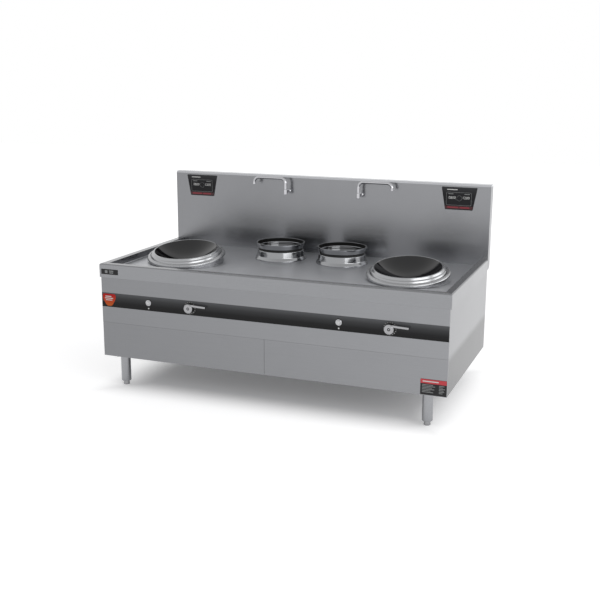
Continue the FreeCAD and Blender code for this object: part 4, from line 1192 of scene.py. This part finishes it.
def makeLouvres(side, sign):
    hoods = []
    left, right = (sign * louvre["x"] + end * louvre["length"] / 2 for end in (-1, 1))
    front = backFace + louvre["out"]
    for row in range(louvre["rows"]):
        low = louvre["low"] + row * louvre["pitch"]
        top = low + louvre["height"]
        hood = addBlock((left, backFace - louvre["root"], low), (right, front, top))
        deleteFaces(hood, lambda centre, normal: normal.z < -0.5 or normal.y < -0.5)
        bevelEdges(hood, lambda middle, way: middle.z > top - near and middle.y > front - near,
                   louvre["round"], 5)
        facesOutward(hood)
        addModifier(hood, "SOLIDIFY", thickness=louvre["sheet"], offset=-1)
        hoods.append(hood)
    finishPiece(joinPieces(hoods), side + "Louvres", backSteel)


for side, sign in sides:
    makeLouvres(side, sign)

screwShape = {
    "head": [(1.5, 1.9), (3.4, 1.6, 2), (4.9, 0.5, 0.5), (4.9, 0.02)],
    "slotLong": 0.0027,
    "slotWide": 0.0006,
    "slotFloor": 0.0011,
    "slotTop": 0.003,
}
screwColumns = 6
# Each sheet's face, the screws' reach to the sides, and their levels.
screwRows = ((backFace, 1.0705, (0.2145, 0.718)), (coverFace, 1.078, (0.760, 1.215)))


def makeScrewHead():
    head = turnSection(screwShape["head"], 24, 3, capStart=True)
    long, wide = screwShape["slotLong"], screwShape["slotWide"]
    for half in ((long, wide), (wide, long)):
        cutter = addBlock((-half[0], -half[1], screwShape["slotFloor"]), (*half, screwShape["slotTop"]))
        addModifier(head, "BOOLEAN", object=cutter, operation="DIFFERENCE", solver="EXACT")
        bpy.data.objects.remove(cutter)
    turnPiece(head, "X", -90)
    return head


def screwPlaces():
    places = []
    for column in range(screwColumns):
        share = 2 * column / (screwColumns - 1) - 1
        for face, reach, levels in screwRows:
            places += [(share * reach, face, z) for z in levels]
    return places


screwHead = makeScrewHead()
heads = []
for x, y, z in screwPlaces():
    head = copyPiece(screwHead)
    movePiece(head, x, y, z)
    heads.append(head)
bpy.data.objects.remove(screwHead)
finishPiece(joinPieces(heads), "panelScrews", satinChrome, replaced=["screws"])

boltShape = {"radius": 0.007, "high": 0.190, "low": 0.185, "inset": 0.034}


def makeLegBolts():
    high, low, inset = boltShape["high"], boltShape["low"], boltShape["inset"]
    bolts = [addHexagon(boltShape["radius"], high - low, (x + i * inset, y + j * inset, (high + low) / 2))
             for x, y in legPlaces.values() for i in (-1, 1) for j in (-1, 1)]
    finishPiece(joinPieces(bolts), "legBolts", satinChrome)


makeLegBolts()

paintNodes(blackNylon, "cable_gland")
print("back made")


# Studio.

studio = {
    "floorSize": 30.0,
    "floorColour": (0.86, 0.86, 0.87),
    # Painted shadow: the glow is weakest under the range and just outside its footprint, so the darkness
    # there is partly the real shadow and partly painted; reflections see the same darker floor.
    "nearGlow": (-0.12, 0.24, 0.10, 0.60),  # metres outside the footprint from, to; glow from, to
    "farGlow": (1.5, 6.0, 0.0, 0.15),
    "footprint": (0.93, 0.49),
    "ambient": 0.58,
    "ceiling": (0.5, 0.97, 1.0, 0.7),      # how the reflected surroundings dim overhead
    "lights": (
        # name, place, aim, width, height, watts
        ("rightLight", (5.2, -3.4, 2.8), (0.3, 0, 0.8), 5.3, 2.6, 95),
        ("sideLight", (6.6, 2.6, 2.6), (0.3, 0, 0.8), 4.5, 2.4, 60),
    ),
}
camera = {
    "place": (2.1527, -5.5516, 1.9691),
    "turn": (76.433, -0.2, 21.295),
    "lens": 58.17,
    "sensor": 36,
    "shift": (0.0061, -0.0011),
    "clipEnd": 100,
}


def backdropRays(tree):
    path = addNode(tree, "ShaderNodeLightPath")
    seen = maths(tree, "MAXIMUM", path.outputs["Is Camera Ray"], path.outputs["Is Glossy Ray"])
    return maths(tree, "MAXIMUM", seen, path.outputs["Is Transmission Ray"])


def makeWorld():
    world = bpy.data.worlds.new("studioWorld")
    bpy.context.scene.world = world
    world.use_nodes = True
    tree = world.node_tree
    background = tree.nodes["Background"]
    background.inputs["Color"].default_value = (1, 1, 1, 1)
    way = addNode(tree, "ShaderNodeTexCoord").outputs["Generated"]
    overhead = remap(tree, splitAxes(tree, way)["Z"], *studio["ceiling"], True)
    plain = remap(tree, backdropRays(tree), 0.0, 1.0, studio["ambient"], 1.0)
    path = addNode(tree, "ShaderNodeLightPath")
    brightness = maths(tree, "MAXIMUM", overhead, path.outputs["Is Camera Ray"])
    feedNode(tree, background, {"Strength": maths(tree, "MULTIPLY", plain, brightness)})


def makeFloor():
    startFresh()
    bpy.ops.mesh.primitive_plane_add(size=studio["floorSize"], location=(0, 0, 0))
    floor = bpy.context.object
    floor.name = "studioFloor"
    material, tree, shader = newMaterial("studioFloor", studio["floorColour"], 0.0, 0.9,
                                         **{"Specular IOR Level": 0.0, "Emission Color": (1, 1, 1, 1)})
    # The glow rises with distance outside the footprint: painted shadow under and around the range, on top of
    # the real one.
    halfX, halfY = studio["footprint"]
    axes = splitAxes(tree, objectPoint(tree))
    across = maths(tree, "SUBTRACT", maths(tree, "ABSOLUTE", axes["X"], 0), halfX)
    back = maths(tree, "SUBTRACT", maths(tree, "ABSOLUTE", axes["Y"], 0), halfY)
    away = maths(tree, "MAXIMUM", across, back)
    close, far = (remap(tree, away, *studio[key], True) for key in ("nearGlow", "farGlow"))
    glow = maths(tree, "MULTIPLY", backdropRays(tree), maths(tree, "ADD", close, far))
    feedNode(tree, shader, {"Emission Strength": glow})
    setMaterial(floor, material)


def makeLights():
    for name, place, aim, width, height, watts in studio["lights"]:
        startFresh()
        bpy.ops.object.light_add(type="AREA", location=place)
        lamp = bpy.context.object
        lamp.name = name
        lamp.data.shape = "RECTANGLE"
        lamp.data.size = width
        lamp.data.size_y = height
        lamp.data.energy = watts
        lamp.rotation_euler = (Vector(aim) - Vector(place)).to_track_quat("-Z", "Y").to_euler()


def makeCamera():
    startFresh()
    turn = [math.radians(degrees) for degrees in camera["turn"]]
    bpy.ops.object.camera_add(location=camera["place"], rotation=turn)
    eye = bpy.context.object
    eye.data.lens = camera["lens"]
    eye.data.sensor_width = camera["sensor"]
    eye.data.shift_x, eye.data.shift_y = camera["shift"]
    eye.data.clip_end = camera["clipEnd"]
    bpy.context.scene.camera = eye


makeWorld()
makeFloor()
makeLights()
makeCamera()
bpy.context.scene.view_settings.view_transform = "Standard"
print("studio made")
